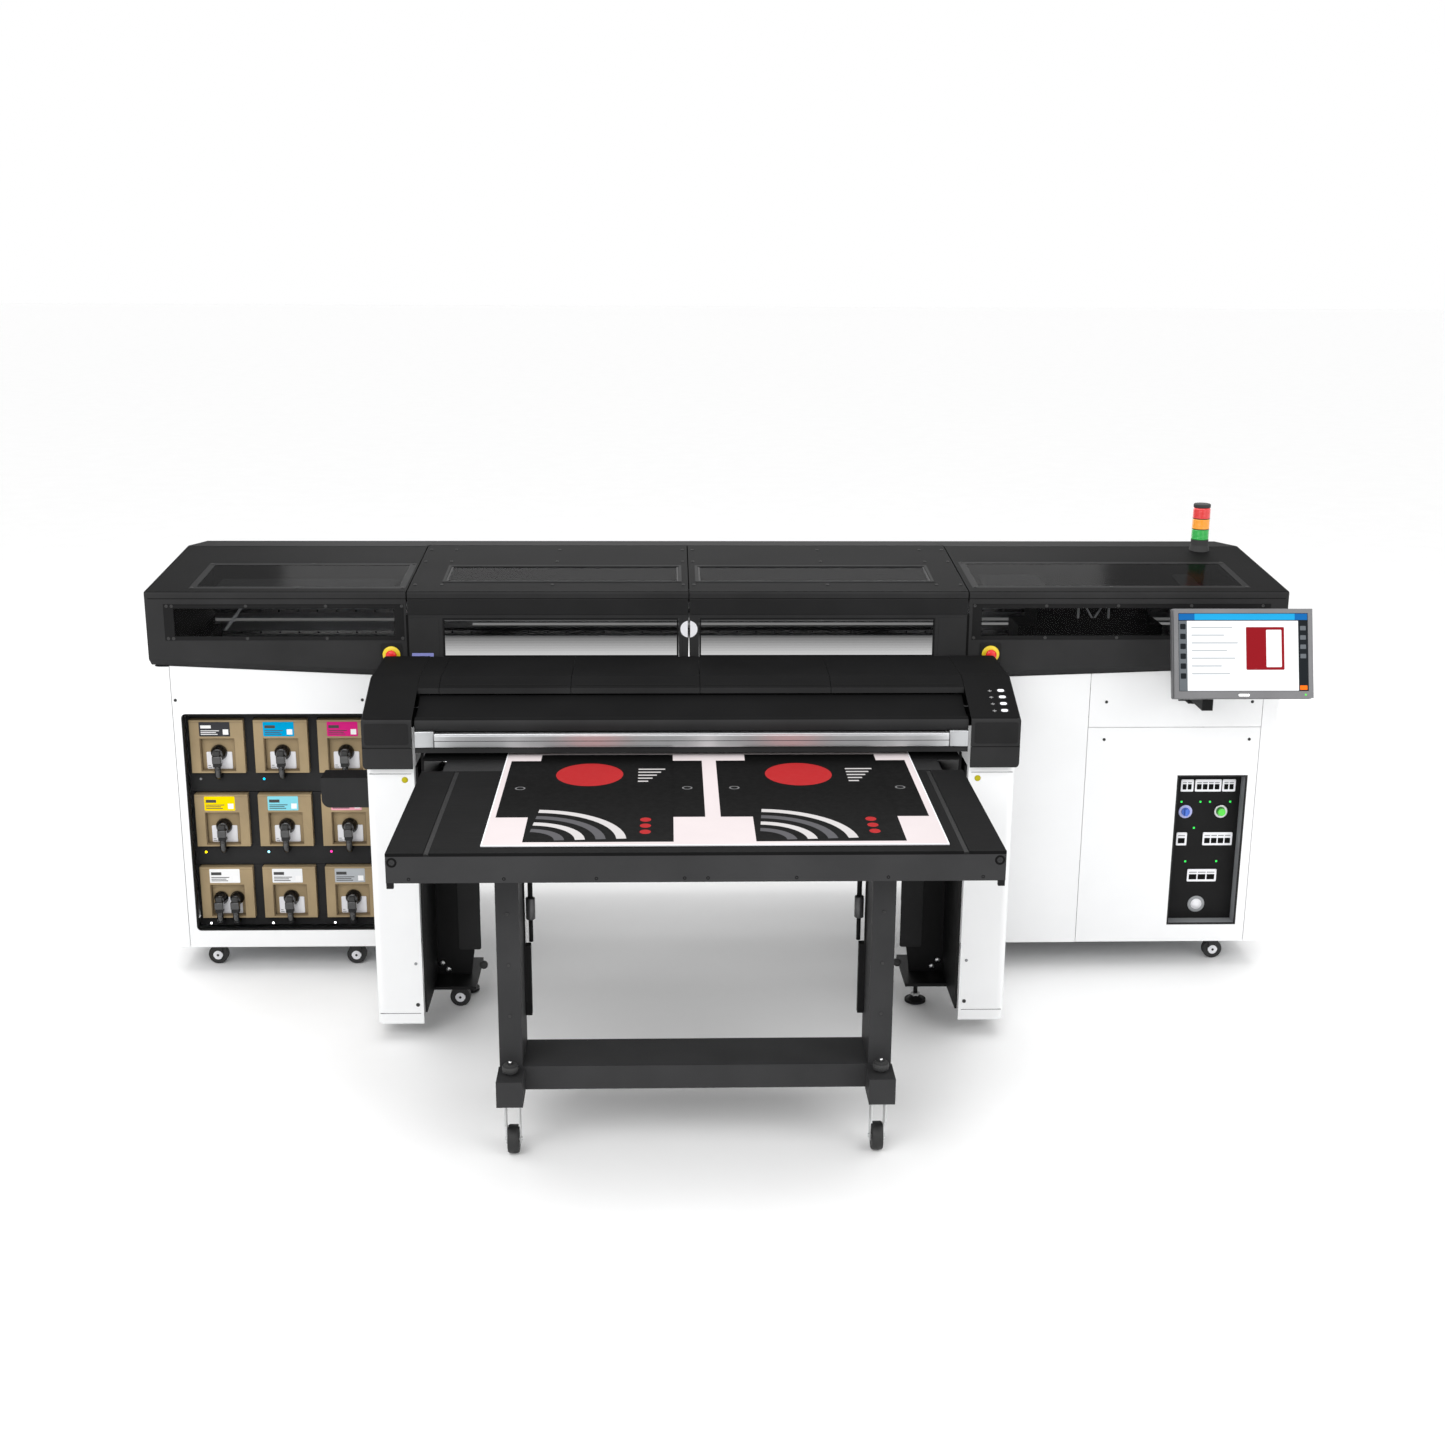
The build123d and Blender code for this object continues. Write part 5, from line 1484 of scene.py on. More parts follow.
# ------------------------------------------------------------------------------ connections
@dataclass(frozen=True)
class Connections:
    """Sunk connection panel at the right: plates with slots, lamps, knobs and walls with painted light
    and shade.
    """

    back_y: float = 60
    floor: Box = (1893.5, 2166.5, 175.5, 793.5)
    # left and top walls dark graphite, right and bottom walls lighter grey: painted shade and painted
    # light
    walls: tuple[tuple[float, float, float, float, Finish], ...] = (
        (1893.2, 1897, 175, 794, GRAPHITE), (2163, 2166.8, 175, 794, FRAME_GREY),
        (1897, 2163, 175, 179, FRAME_GREY), (1897, 2163, 790, 794, GRAPHITE),
    )
    wall_depth: float = 58
    mouth: Box = (1892.5, 2167.5, 174.5, 794.5)
    clear: Box = (1898, 2162, 180, 789)
    plates: tuple[tuple[float, float, float, float, int], ...] = (
        (1950, 736, 50, 50, 2), (2033, 736, 104, 50, 4), (2115, 736, 52, 50, 2),
        (1943, 515, 42, 54, 1), (2086, 515, 118, 54, 4), (2035, 362, 117, 52, 3),
    )
    plate_w: tuple[float, float] = (4, 6.4)
    plate_margin: float = 5
    badge: tuple[float, float] = (2022, 240)
    badge_ring: Profile = ((34, 1.8), (34, 3.2), (31, 4.2), (0, 4.4))
    badge_face: Profile = ((22, 4.2), (22, 4.9), (0, 5))
    lamps: Profile = (
        (1933, 668), (2008, 668), (2046, 668), (2126, 668), (1990, 560), (1966, 420), (2090, 420),
    )
    lamp_half: float = 5
    lens_half: float = 3.4
    knobs: tuple[tuple[float, float, Finish], ...] = ((1951, 628, PALE_BLUE), (2092, 628, ZINC))
    knob_ring: Profile = ((17, 2.6), (27, 2.6), (27, 4.4), (25, 5.6), (19, 5.6), (17, 4.6))

    def build(self) -> None:
        """Builds the linings, plates, lamps and knobs."""
        back = Face.front(self.back_y)
        self._lining(back)
        self._plates(back)
        lamps = Piece("connection_lamps")
        green = coloured("lamp_green", (0.02, 0.55, 0.06), 1.6)
        for x, z in self.lamps:
            spot = (x, x, z, z)
            lamps.pad(back, *grown(spot, self.lamp_half), 0.5, 2.2, BLACK_PLASTIC, 1)
            lamps.pad(back, *grown(spot, self.lens_half), 2.1, 3.0, green, 1)
        lamps.done("machine")
        rings = Piece("knob_rings")
        for x, z, finish in self.knobs:
            rings.turned(back, x, z, self.knob_ring, finish, 40)
        rings.done("machine")

    def _lining(self, back: Face) -> None:
        """Back, walls and rim of the sunk panel.

        Args:
            back: the panel's back face.
        """
        lining = Piece("connection_lining")
        lining.block(back, *self.floor, 0, 0.6, BLACK_SATIN)
        # painted light and shade: each wall takes the finish listed for it
        for x0, x1, z0, z1, finish in self.walls:
            lining.block(back, x0, x1, z0, z1, 0, self.wall_depth, finish, 0.5)
        lining.frame(PANEL, self.mouth, self.clear, -5, -0.6, GRAPHITE, 1)
        lining.done("machine")

    def _plates(self, back: Face) -> None:
        """White plates with their slots, and the plain round badge.

        Args:
            back: the panel's back face.
        """
        plates = Piece("connection_plates")
        for x, z, width, height, ports in self.plates:
            u0, u1, v0, v1 = x - width / 2, x + width / 2, z - height / 2, z + height / 2
            plates.pad(back, u0, u1, v0, v1, *self.plate_w, PLATE_WHITE, 4, 0.6)
            pitch = (width - 2 * self.plate_margin) / ports
            for n in range(ports):
                left = u0 + self.plate_margin + n * pitch
                span = (left + 2, left + pitch - 3)
                plates.pad(back, *span, v0 + 9, v0 + 31, 6.2, 6.8, BLACK_DEEP, 2)
                plates.block(back, *span, v1 - 15, v1 - 11, 6.2, 6.6, FRAME_GREY)
            for u in (u0 + 3, u1 - 3):
                plates.turned(back, u, v1 - 4, ((1.4, 6.2), (1.4, 6.9), (0, 7.1)), ZINC, 10)
        plates.turned(back, *self.badge, self.badge_ring, FRAME_GREY, 40)
        plates.turned(back, *self.badge, self.badge_face, PLATE_WHITE, 40)
        plates.done("machine")


# ------------------------------------------------------------------------------ output unit
@dataclass(frozen=True)
class OutputUnit:
    """Front bar, caps, towers, leg panels and what is fixed on them."""

    keys: Profile = ((1090, -503), (1090, -539), (1088, -576), (1086, -614))
    slope_z: tuple[float, float] = (1203.0, 1300.0)
    slope_y: tuple[float, float] = (-660.0, -410.0)
    bar_end: float = 67
    bar_groove: tuple[float, float] = (22, 24)
    end_rise: float = 9
    caps: tuple[tuple[float, float], ...] = ((-1140, -965), (965, 1140))
    cap_seam: tuple[float, float] = (1103.5, 1106)
    slope_seam: tuple[float, float] = (262, 264)
    cap_panel: tuple[float, float] = (1116, 1192)
    key_mark: tuple[float, float] = (1044, 1058)
    key_stroke: tuple[float, float] = (1049.5, 1052.5)
    tower_face: float = -298
    door: Box = (790, 873, 210, 840)
    latches: Profile = ((938, 155), (916, 130))
    latch: Profile = ((11, -1), (11, 3), (9, 5), (0, 5.4))
    bumper_at: tuple[float, float] = (781, 152)
    bumper: Profile = ((12, -1), (12, 4), (15, 6), (15, 16), (11, 20), (0, 20.5))
    leg_face: float = -626
    tag_at: tuple[float, float] = (1000, 980)
    tag: Profile = ((11, -0.5), (11, 0.8), (0, 0.9))
    stud_at: tuple[float, float] = (989, 292)
    stud: Profile = ((5.5, -1), (5.5, 1.6), (3, 2.4), (0, 2.6))
    screw_at: tuple[float, float] = (987, 133)
    screw: Profile = ((7, -1), (7, 1.4), (3, 1.4), (3, 0.4), (0, 0.4))
    leg_span: tuple[float, float] = (977, 1123)
    leg_seams: tuple[float, float] = (99, 1001)
    skins: tuple[tuple[float, float], ...] = ((-889, -427), (-427, 28), (28, 491), (491, 964))
    grip: tuple[float, float] = (206, 214)

    def build(self) -> None:
        """Builds every piece of the output unit."""
        self._bar()
        self._caps()
        self._towers()
        self._legs()
        self._cover()

    @property
    def slope(self) -> Face:
        """The sloping top of the unit."""
        run = Vector((0, self.slope_y[1] - self.slope_y[0], self.slope_z[1] - self.slope_z[0]))
        return Face(0, self.slope_y[0], self.slope_z[0], v=run.normalized())

    def _bar(self) -> None:
        """Bright bar across the front with taller end blocks and a groove."""
        node = Span.of("front_bar")
        face = Face.front(node.y0)
        depth = node.y1 - node.y0
        left, right = node.x0 + self.bar_end, node.x1 - self.bar_end
        groove = (node.z0 + self.bar_groove[0], node.z0 + self.bar_groove[1])
        bar = Piece("front_bar_profile")
        bar.block(face, left, right, node.z0, node.z1, -depth, -2, BRUSHED, 2)
        bar.block(face, left + 2, right - 2, node.z0 + 6, node.z1 - 6, -3, 0, BRUSHED, 1)
        bar.block(face, left, right, *groove, -2.4, 0.2, GRAPHITE)
        for x0, x1 in ((node.x0, left), (right, node.x1)):
            top = node.z1 + self.end_rise
            bar.block(face, x0 + 0.2, x1 - 0.2, node.z0, top, -depth, 0.6, ALLOY, 2.5)
        bar.done("machine", ["front_bar"])

    def _caps(self) -> None:
        """Seams, keys and plain marks of the two end caps."""
        slope = self.slope
        front = Face.front(self.slope_y[0])
        trim = Piece("cap_trim")
        for x0, x1 in self.caps:
            trim.block(front, x0 + 3, x1 - 3, *self.cap_seam, -1, 0.4, BLACK_DEEP)
            trim.block(slope, x0 + 5, x1 - 5, *self.slope_seam, -1, 0.3, BLACK_DEEP)
            trim.pad(front, x0 + 12, x1 - 12, *self.cap_panel, -1, 0.9, CHARCOAL_LIGHT, 8, 0.4)
        trim.done("machine")
        grey = coloured("key_mark", (0.30, 0.30, 0.30))
        keys = Piece("feed_keys")
        for x, y in self.keys:
            v = (y - self.slope_y[0]) / slope.v.y
            keys.pad(slope, x - 17, x + 17, v - 12, v + 12, -0.5, 0.8, BLACK_SATIN, 10)
            keys.pad(slope, x - 12, x + 12, v - 7.5, v + 7.5, 0.7, 2.6, PLATE_WHITE, 7, 0.8)
            keys.block(slope, *self.key_mark, v - 1.5, v + 1.5, -0.4, 0.5, grey)
            keys.block(slope, *self.key_stroke, v - 6, v + 6, -0.4, 0.5, grey)
        keys.done("machine")

    def _towers(self) -> None:
        """Doors, latches and bumpers on the front of the towers."""
        face = Face.front(self.tower_face)
        doors = Piece("tower_doors")
        for side in (-1, 1):
            door = (*sided(side, *self.door[:2]), *self.door[2:])
            doors.pad(face, *door, -1, 1.6, GRAPHITE, 8, 0.6)
            for x, z in self.latches:
                doors.turned(face, side * x, z, self.latch, ZINC, 28)
                doors.block(face, side * x - 8, side * x + 8, z - 1.5, z + 1.5, 5, 7.5, ZINC, 0.6)
            x, z = self.bumper_at
            doors.turned(face, side * x, z, self.bumper, BLACK_PLASTIC, 32)
        doors.done("machine")

    def _legs(self) -> None:
        """Plain tags, screws and edge trims of the two leg panels."""
        face = Face.front(self.leg_face)
        tags = Piece("leg_tags")
        yellow = coloured("plain_tag", (0.48, 0.42, 0.02))
        for side in (-1, 1):
            for (x, z), profile, finish, steps in (
                (self.tag_at, self.tag, yellow, 32),
                (self.stud_at, self.stud, FRAME_GREY, 20),
                (self.screw_at, self.screw, BLACK_PLASTIC, 20),
            ):
                tags.turned(face, side * x, z, profile, finish, steps)
            for z in self.leg_seams:
                tags.block(face, *sided(side, *self.leg_span), z, z + 1.6, -1, 0.5, BLACK_DEEP)
        tags.done("machine")

    def _cover(self) -> None:
        """Finger grips of the output cover's four skins."""
        trim = Piece("cover_grips")
        for x0, x1 in self.skins:
            trim.pad(self.slope, x0 + 14, x1 - 14, *self.grip, -1.5, 0.2, BLACK_DEEP, 3)
        trim.done("cover")


# ------------------------------------------------------------------------------ table and board
class BoardPrint(Enum):
    """Colours of the abstract print on the board."""

    SHEET = (0.60, 0.54, 0.545)
    FIELD = (0.003, 0.003, 0.003)
    DISC = (0.36, 0.018, 0.02)
    PALE = (0.50, 0.48, 0.48)
    SAND = (0.085, 0.083, 0.09)
    GREY = (0.16, 0.16, 0.165)


class Table:
    """Transport table: deck grooves, beam screws, clips, latch rods, knobs and the board."""

    beam_screws = (-848, -569, -297, -37, 32, 294, 566, 848)
    plug = ((15, -3), (15, 1), (11, 1.8), (9, 0.4), (0, 0.4))
    knob = (
        (8, 300), (8, 312), (22, 312.5), (25, 316), (25, 327), (21, 332.5), (10, 333.5), (0, 333.5),
    )
    leg_screw = ((5, 0), (5, 1.6), (2.6, 1.6), (2.6, 0.5), (0, 0.5))

    def build(self) -> None:
        """Builds the table's fittings and the printed board."""
        self._beam()
        self._deck()
        self._legs()
        self._board()

    def _beam(self) -> None:
        """Front beam's screws, plugs and clips."""
        node = Span.of("table_top")
        face = Face.front(node.y0 + 2.4)
        plugs = Piece("table_beam_fittings")
        for x in self.beam_screws:
            plugs.turned(face, x, 988, [(5, -3), (5, 1), (3, 1), (3, -0.2), (0, -0.2)], BLACK_DEEP, 20)
        for side in (-1, 1):
            plugs.turned(face, side * 896, 1040, self.plug, BLACK_DEEP, 28)
            low, high = sorted((side * 893, side * 914))
            plugs.block(face, low, high, 958, 977, -12, 1.4, BLACK_SATIN, 2)
        plugs.done("machine")

    def _deck(self) -> None:
        """Deck plate on its welded beams, with the two long grooves and the rear tongue."""
        node = Span.of("table_top")
        deck = Piece("table_deck")
        low = Face.level(0)
        front, back = node.y0 + 2, -813
        for u0, u1 in ((-915, -803), (-788, 788), (803, 915)):
            deck.block(low, u0, u1, front, back, 1058, 1068, DECK_BLACK, 1.0)
        for side in (-1, 1):
            u0, u1 = sorted((side * 788, side * 803))
            deck.block(low, u0, u1, front, back, 1058, 1065, BLACK_SATIN)
            u0, u1 = sorted((side * 889, side * 915))
            deck.block(low, u0, u1, front + 30, back, 975, 1058, BLACK_SATIN, 1.5)
            u0, u1 = sorted((side * 540, side * 620))
            deck.block(low, u0, u1, front + 30, back - 26, 975, 1058, BLACK_SATIN, 1.5)
        # front beam in the lighter grey while the other beams stay black satin: painted front light
        deck.block(low, -915, 915, front, front + 30, 975, 1058.5, LEG_GREY_PAINTED_FRONT_LIGHT, 1.5)
        deck.block(low, -915, 915, back - 25, back, 975, 1058, BLACK_SATIN, 1.5)
        deck.block(low, -845, 845, back, node.y1, 1061, 1067, BLACK_SATIN, 0.8)
        deck.done("machine", ["table_top"])

    def _legs(self) -> None:
        """Latch rods, brackets, knobs and studs at the two legs."""
        parts = Piece("table_leg_fittings")
        for side in (-1, 1):
            x = side * 523
            axis = Face(x, -1270, 0, v=Vector((0, 1, 0)))
            parts.turned(axis, 0, 0, [(13, 716), (15, 718), (15, 786), (13, 788)], STEEL_DARK, 28)
            parts.turned(axis, 0, 0, [(8, 786), (8, 975)], BLACK_SATIN, 20)
            parts.turned(axis, 0, 0, [(7, 640), (7, 717)], BLACK_SATIN, 20)
            level = Face(0, -1300, 0)
            low, high = sorted((side * 522, side * 543))
            parts.block(level, low, high, 399, 640, -20, 6, BLACK_SATIN, 1.5)
            low, high = sorted((side * 538, side * 545))
            parts.block(level, low, high, 446, 900, 0, 12, BLACK_SATIN, 1.5)
            knob = Face(side * 577, -1520, 0, v=Vector((0, 1, 0)))
            parts.turned(knob, 0, 0, self.knob, BLACK_PLASTIC, 36)
            parts.turned(knob, 0, 0, [(5, 333), (5, 342), (3.5, 344), (0, 344)], BRIGHT, 16)
            for z in (470, 640, 810):
                front = Face.front(-1466)
                parts.turned(front, side * 579, z, self.leg_screw, BLACK_PLASTIC, 16)
        parts.done("machine")

    def _board(self) -> None:
        """White sheet with two mirrored folding prints of abstract fields, discs and arcs."""
        node = Span.of("board")
        base = Face.level(node.z0)
        tint = {part: coloured("print_" + part.name.lower(), part.value) for part in BoardPrint}
        board = Piece("printed_board")
        edge = (node.x0, node.x1, node.y0, node.y1)
        board.block(base, *edge, 0, node.z1 - node.z0 - 0.5, PLATE_WHITE, 0.4)
        board.block(base, *grown(edge, -4), 4.2, 4.6, tint[BoardPrint.SHEET])
        for middle in (-295, 403):
            self._print(board, Face(middle, -1100, node.z0 + 4.6, v=Vector((0, 1, 0))), tint)
        board.done("board", ["board"])

    @staticmethod
    def _print(board: Piece, face: Face, tint: dict[BoardPrint, Finish]) -> None:
        """One folding print about the middle of a face.

        Args:
            board: the piece to add to.
            face: face through the print's middle.
            tint: finishes by colour.
        """
        w = 0.12
        board.block(face, -225, 226, -458, 460, 0, w, tint[BoardPrint.FIELD])
        for side in (-1, 1):
            low, high = sorted((side * 225, side * 325))
            board.block(face, low, high, -224, 386, 0, w, tint[BoardPrint.FIELD])
            Table._round(board, face, (side * 272, 76), (17, 17), w, tint[BoardPrint.GREY])
            Table._round(board, face, (side * 272, 76), (12, 12), w + 0.05, tint[BoardPrint.FIELD])
        for n in range(4):
            radius = 300 - 62 * n
            turn = [math.radians(4 + 82 * k / 14) for k in range(15)]
            outer = [(-215 + radius * math.cos(a), -448 + radius * math.sin(a)) for a in turn]
            hole = radius - 30
            inner = [(-215 + hole * math.cos(a), -448 + hole * math.sin(a)) for a in turn]
            shade = tint[BoardPrint.SAND if n % 2 else BoardPrint.PALE]
            for k in range(14):
                quad = [outer[k], outer[k + 1], inner[k + 1], inner[k]]
                board.prism(face, quad, w, w + 0.06, shade)
        Table._round(board, face, (-52, 226), (112, 128), w, tint[BoardPrint.DISC])
        for n in range(5):
            bar = (110, 200 - 14 * n, 280 - 34 * n, 292 - 34 * n)
            board.block(face, *bar, w, w + 0.05, tint[BoardPrint.PALE])
        for n in range(3):
            Table._round(board, face, (140, -250 - 58 * n), (17, 20), w, tint[BoardPrint.DISC])

    @staticmethod
    def _round(
        board: Piece, face: Face, centre: tuple[float, float], radii: tuple[float, float], w: float,
        finish: Finish,
    ) -> None:
        """A printed oval.

        Args:
            board: the piece to add to.
            face: the printed face.
            centre: u and v of its middle.
            radii: along u and v.
            w: height that it lies at.
            finish: its colour.
        """
        turn = [2 * math.pi * n / 36 for n in range(36)]
        outline = [(centre[0] + radii[0] * math.cos(a), centre[1] + radii[1] * math.sin(a)) for a in turn]
        board.prism(face, outline, w, w + 0.05, finish)


# ------------------------------------------------------------------------------ small fittings
@dataclass(frozen=True)
class Signals:
    """Beacon lenses and the plain screen of the monitor."""

    lights: tuple[tuple[str, tuple[float, float, float]], ...] = (
        ("beacon_green", (0.02, 0.36, 0.06)), ("beacon_amber", (0.80, 0.30, 0.02)),
        ("beacon_red", (0.62, 0.03, 0.03)),
    )
    ribs: int = 7
    ring_rise: float = 1.5
    tilt: float = math.radians(17.6)
    screen_at: tuple[float, float, float] = (2007, -300, 1350)

    def build(self) -> None:
        """Builds the lenses and the screen."""
        self._beacon()
        self._screen()

    def _beacon(self) -> None:
        """Three ribbed lenses with dark rings between them."""
        node = Span.of("beacon_lenses")
        face = Face(node.mid_x, node.mid_y, 0, v=Vector((0, 1, 0)))
        radius = (node.x1 - node.x0) / 2
        step = (node.z1 - node.z0) / 3
        lenses = Piece("beacon_stack")
        for n, (name, colour) in enumerate(self.lights):
            low = node.z0 + n * step
            ribs = [(radius - 1.4, low)]
            for k in range(self.ribs):
                z = low + 3 + k * (step - 6) / self.ribs
                ribs += [(radius, z), (radius, z + (step - 6) / 11), (radius - 1.4, z + (step - 6) / 9)]
            ribs += [(radius - 1.4, low + step)]
            lens = Finish(name, colour, 0.18, Grain.GLOSS, drift=0.05, coat=0.5, glow=0.25)
            lenses.turned(face, 0, 0, ribs, lens, 48)
            if n:
                inner, outer = radius - 1.2, radius - 0.1
                under, over = low - self.ring_rise, low + self.ring_rise
                ring = [(inner, under), (outer, under), (outer, over), (inner, over)]
                lenses.turned(face, 0, 0, ring, BLACK_PLASTIC, 48)
        lenses.done("machine", ["beacon_lenses"])

    def _screen(self) -> None:
        """Bezel and lit screen with plain panels; nothing is written on it."""
        run = Vector((0, math.sin(self.tilt), math.cos(self.tilt)))
        face = Face(*self.screen_at, v=run)
        blue = coloured("screen_title", (0.015, 0.27, 0.52), 0.25)
        deep = coloured("screen_title_end", (0.008, 0.10, 0.30), 0.25)
        white = coloured("screen_page", (0.66, 0.67, 0.68), 0.25)
        dark = coloured("screen_dark", (0.012, 0.014, 0.016), 0.3)
        grey = coloured("screen_column", (0.10, 0.11, 0.12), 0.3)
        orange = coloured("screen_button", (0.75, 0.13, 0.01), 0.3)
        pale = coloured("screen_rows", (0.40, 0.42, 0.44), 0.1)
        red = coloured("screen_preview", (0.20, 0.008, 0.012), 0.3)
        bezel = Piece("monitor_bezel")
        bezel.frame(face, (-255, 255, -163, 163), (-238, 238, -138, 147), 13, 16.5, SILVER_BEZEL, 1.5)
        bezel.pad(face, -20, 20, -156, -148, 16, 16.9, BRIGHT, 3)
        bezel.turned(face, 226, -151, [(4, 16), (4, 17), (3, 17.4), (0, 17.4)], GREEN_KNOB, 16)
        bezel.done("screen")
        page = Piece("monitor_page")
        page.block(face, -238, 238, -138, 147, 13, 14.4, dark)
        page.block(face, -236, 236, 122, 145, 14.3, 14.8, blue)
        page.block(face, -236, -178, 122, 145, 14.8, 15.1, deep)
        page.block(face, 190, 236, 122, 145, 14.8, 15.1, deep)
        page.block(face, -236, -206, -136, 119, 14.3, 14.8, grey)
        page.block(face, -206, 202, -136, 119, 14.3, 14.8, white)
        page.block(face, 202, 236, -136, 119, 14.3, 14.8, dark)
        for n in range(6):
            page.pad(face, -231, -211, 88 - n * 36, 108 - n * 36, 14.8, 15.2, dark, 3)
        for n, width in enumerate((150, 120, 170, 130, 160, 110, 140)):
            page.pad(face, -190, -190 + width, 92 - n * 28, 97 - n * 28, 14.8, 15.1, pale, 2)
        page.pad(face, 10, 150, -60, 96, 14.8, 15.1, red, 4)
        page.pad(face, 84, 140, -50, 86, 15.1, 15.4, white, 3)
        for n in range(4):
            page.pad(face, 209, 230, 84 - n * 34, 100 - n * 34, 14.8, 15.2, grey, 2)
        page.pad(face, 206, 233, -133, -117, 14.8, 15.3, orange, 2)
        page.done("screen")


@dataclass(frozen=True)
class RunningGear:
    """Cabinet casters, levelling feet and the table's swivelling casters."""

    cabinet: Profile = ((-1874, 94), (-1326, 86), (2109, 90), (-869, -330))
    feet: Profile = (
        (853, -322), (-853, -190), (-1940, 860), (-1110, 860), (1110, 860), (2200, 860),
    )
    hub: Profile = ((19, -1), (19, 2.4), (17, 3.4), (6, 3.4), (5, 4.6), (0, 4.8))
    hub_out: float = 16
    hub_z: float = 38
    nut: Profile = ((17, 24), (17, 34))
    sole: Profile = ((30.5, 0.2), (31, 2.5), (30.5, 4))

    def build(self) -> None:
        """Builds the casters' wheels, forks and the feet."""
        self._cabinet_casters()
        self._table_wheels()
        self._feet_detail()

    def _cabinet_casters(self) -> None:
        """White hubs let onto the cabinet casters."""
        hubs = Piece("caster_hubs")
        for x, y in self.cabinet:
            face = Face.front(y - self.hub_out)
            hubs.turned(face, x, self.hub_z, self.hub, PLATE_WHITE, 32)
        hubs.done("machine")

    def _table_wheels(self) -> None:
        """Turned wheels with a rounded tread and a hub on each side."""
        for side in ("left", "right"):
            node = Span.of(side + "_wheel")
            face = Face(node.mid_x, node.mid_y, (node.z0 + node.z1) / 2, u=Vector((0, 1, 0)))
            half = (node.x1 - node.x0) / 2
            r = (node.z1 - node.z0) / 2
            wheel = Piece(side + "_wheel_tread")
            tread = [
                (29, -half + 2), (r - 3, -half), (r, -half + 4), (r, half - 4), (r - 3, half),
                (29, half - 2),
            ]
            wheel.turned(face, 0, 0, tread, TYRE, 48)
            hub = [
                (7, -half + 3), (28, -half + 3), (29.5, -half + 1.8), (29.5, half - 1.8),
                (28, half - 3), (7, half - 3),
            ]
            wheel.turned(face, 0, 0, hub, FRAME_GREY, 40)
            wheel.done(side + "_caster_wheel", [side + "_wheel"])

    def _feet_detail(self) -> None:
        """Lock nuts and rubber soles of the levelling feet."""
        nuts = Piece("foot_nuts")
        for x, y in self.feet:
            face = Face(x, y, 0, v=Vector((0, 1, 0)))
            nuts.turned(face, 0, 0, self.nut, ZINC, 6, False)
            nuts.turned(face, 0, 0, self.sole, BLACK_PLASTIC, 40)
        nuts.done("machine")


@dataclass(frozen=True)
class Back:
    """Louvres and screws on the back panels."""

    repeater: Repeater
    face_y: float = 940
    fields: tuple[tuple[str, float], ...] = (("left", 1560), ("right", -1680))
    field_z: float = 560
    field_count: tuple[int, int] = (3, 12)
    field_span: tuple[float, float] = (260, 330)
    slat: Profile = ((-5, -1), (5, -1), (5, 0.5), (-4, 4.5))
    slat_half: float = 55
    screws: tuple[tuple[str, float, float], ...] = (("left", 1556, 780), ("right", -1676, 1060))
    screw_z: float = 600
    screw_count: tuple[int, int] = (3, 5)
    screw_rise: float = 880
    screw: Profile = ((6, -0.5), (6, 1.2), (5, 2), (2.6, 2), (2.6, 0.9), (0, 0.9))

    def build(self) -> None:
        """Builds the louvre fields and the back screws."""
        self._field("louvre", "louvres_", self._slat, WHITE_PAINT)
        self._field("louvre_slot", "louvre_slots_", self._slot, BLACK_DEEP)
        face = Face.rear(self.face_y)
        screw = Master("back_screw", self._screw)
        for name, x, width in self.screws:
            self.repeater.lay(
                "back_screws_" + name, screw, face, (x, self.screw_z, 0), self.screw_count,
                (width, self.screw_rise), BLACK_PLASTIC, "machine", "screw_black",
            )
        screw.close()

    def _field(
        self, title: str, prefix: str, make: Callable[[Piece, Face], None], finish: Finish
    ) -> None:
        """Lays one repeated shape over both louvre fields.

        Args:
            title: name of the repeated shape.
            prefix: what the pieces' names begin with.
            make: draws the shape on a face.
            finish: its finish.
        """
        face = Face.rear(self.face_y)
        master = Master(title, make)
        for name, x in self.fields:
            self.repeater.lay(
                prefix + name, master, face, (x, self.field_z, 0), self.field_count,
                self.field_span, finish, "machine", "white_panel",
            )
        master.close()

    def _slat(self, piece: Piece, face: Face) -> None:
        """One louvre, leaning out at its top.

        Args:
            piece: the piece to draw it on.
            face: face through its middle.
        """
        across = Face(face.x, face.y, face.z, u=Vector((0, 1, 0)), v=Vector((0, 0, 1)))
        half = self.slat_half
        piece.prism(across, self.slat, -half, half, WHITE_PAINT, 0.3)

    def _slot(self, piece: Piece, face: Face) -> None:
        """The dark opening under one louvre."""
        piece.block(face, -52, 52, -9, -5.5, -0.5, 0.6, BLACK_DEEP)

    def _screw(self, piece: Piece, face: Face) -> None:
        """One pan-head screw."""
        piece.turned(face, 0, 0, self.screw, BLACK_PLASTIC, 14)


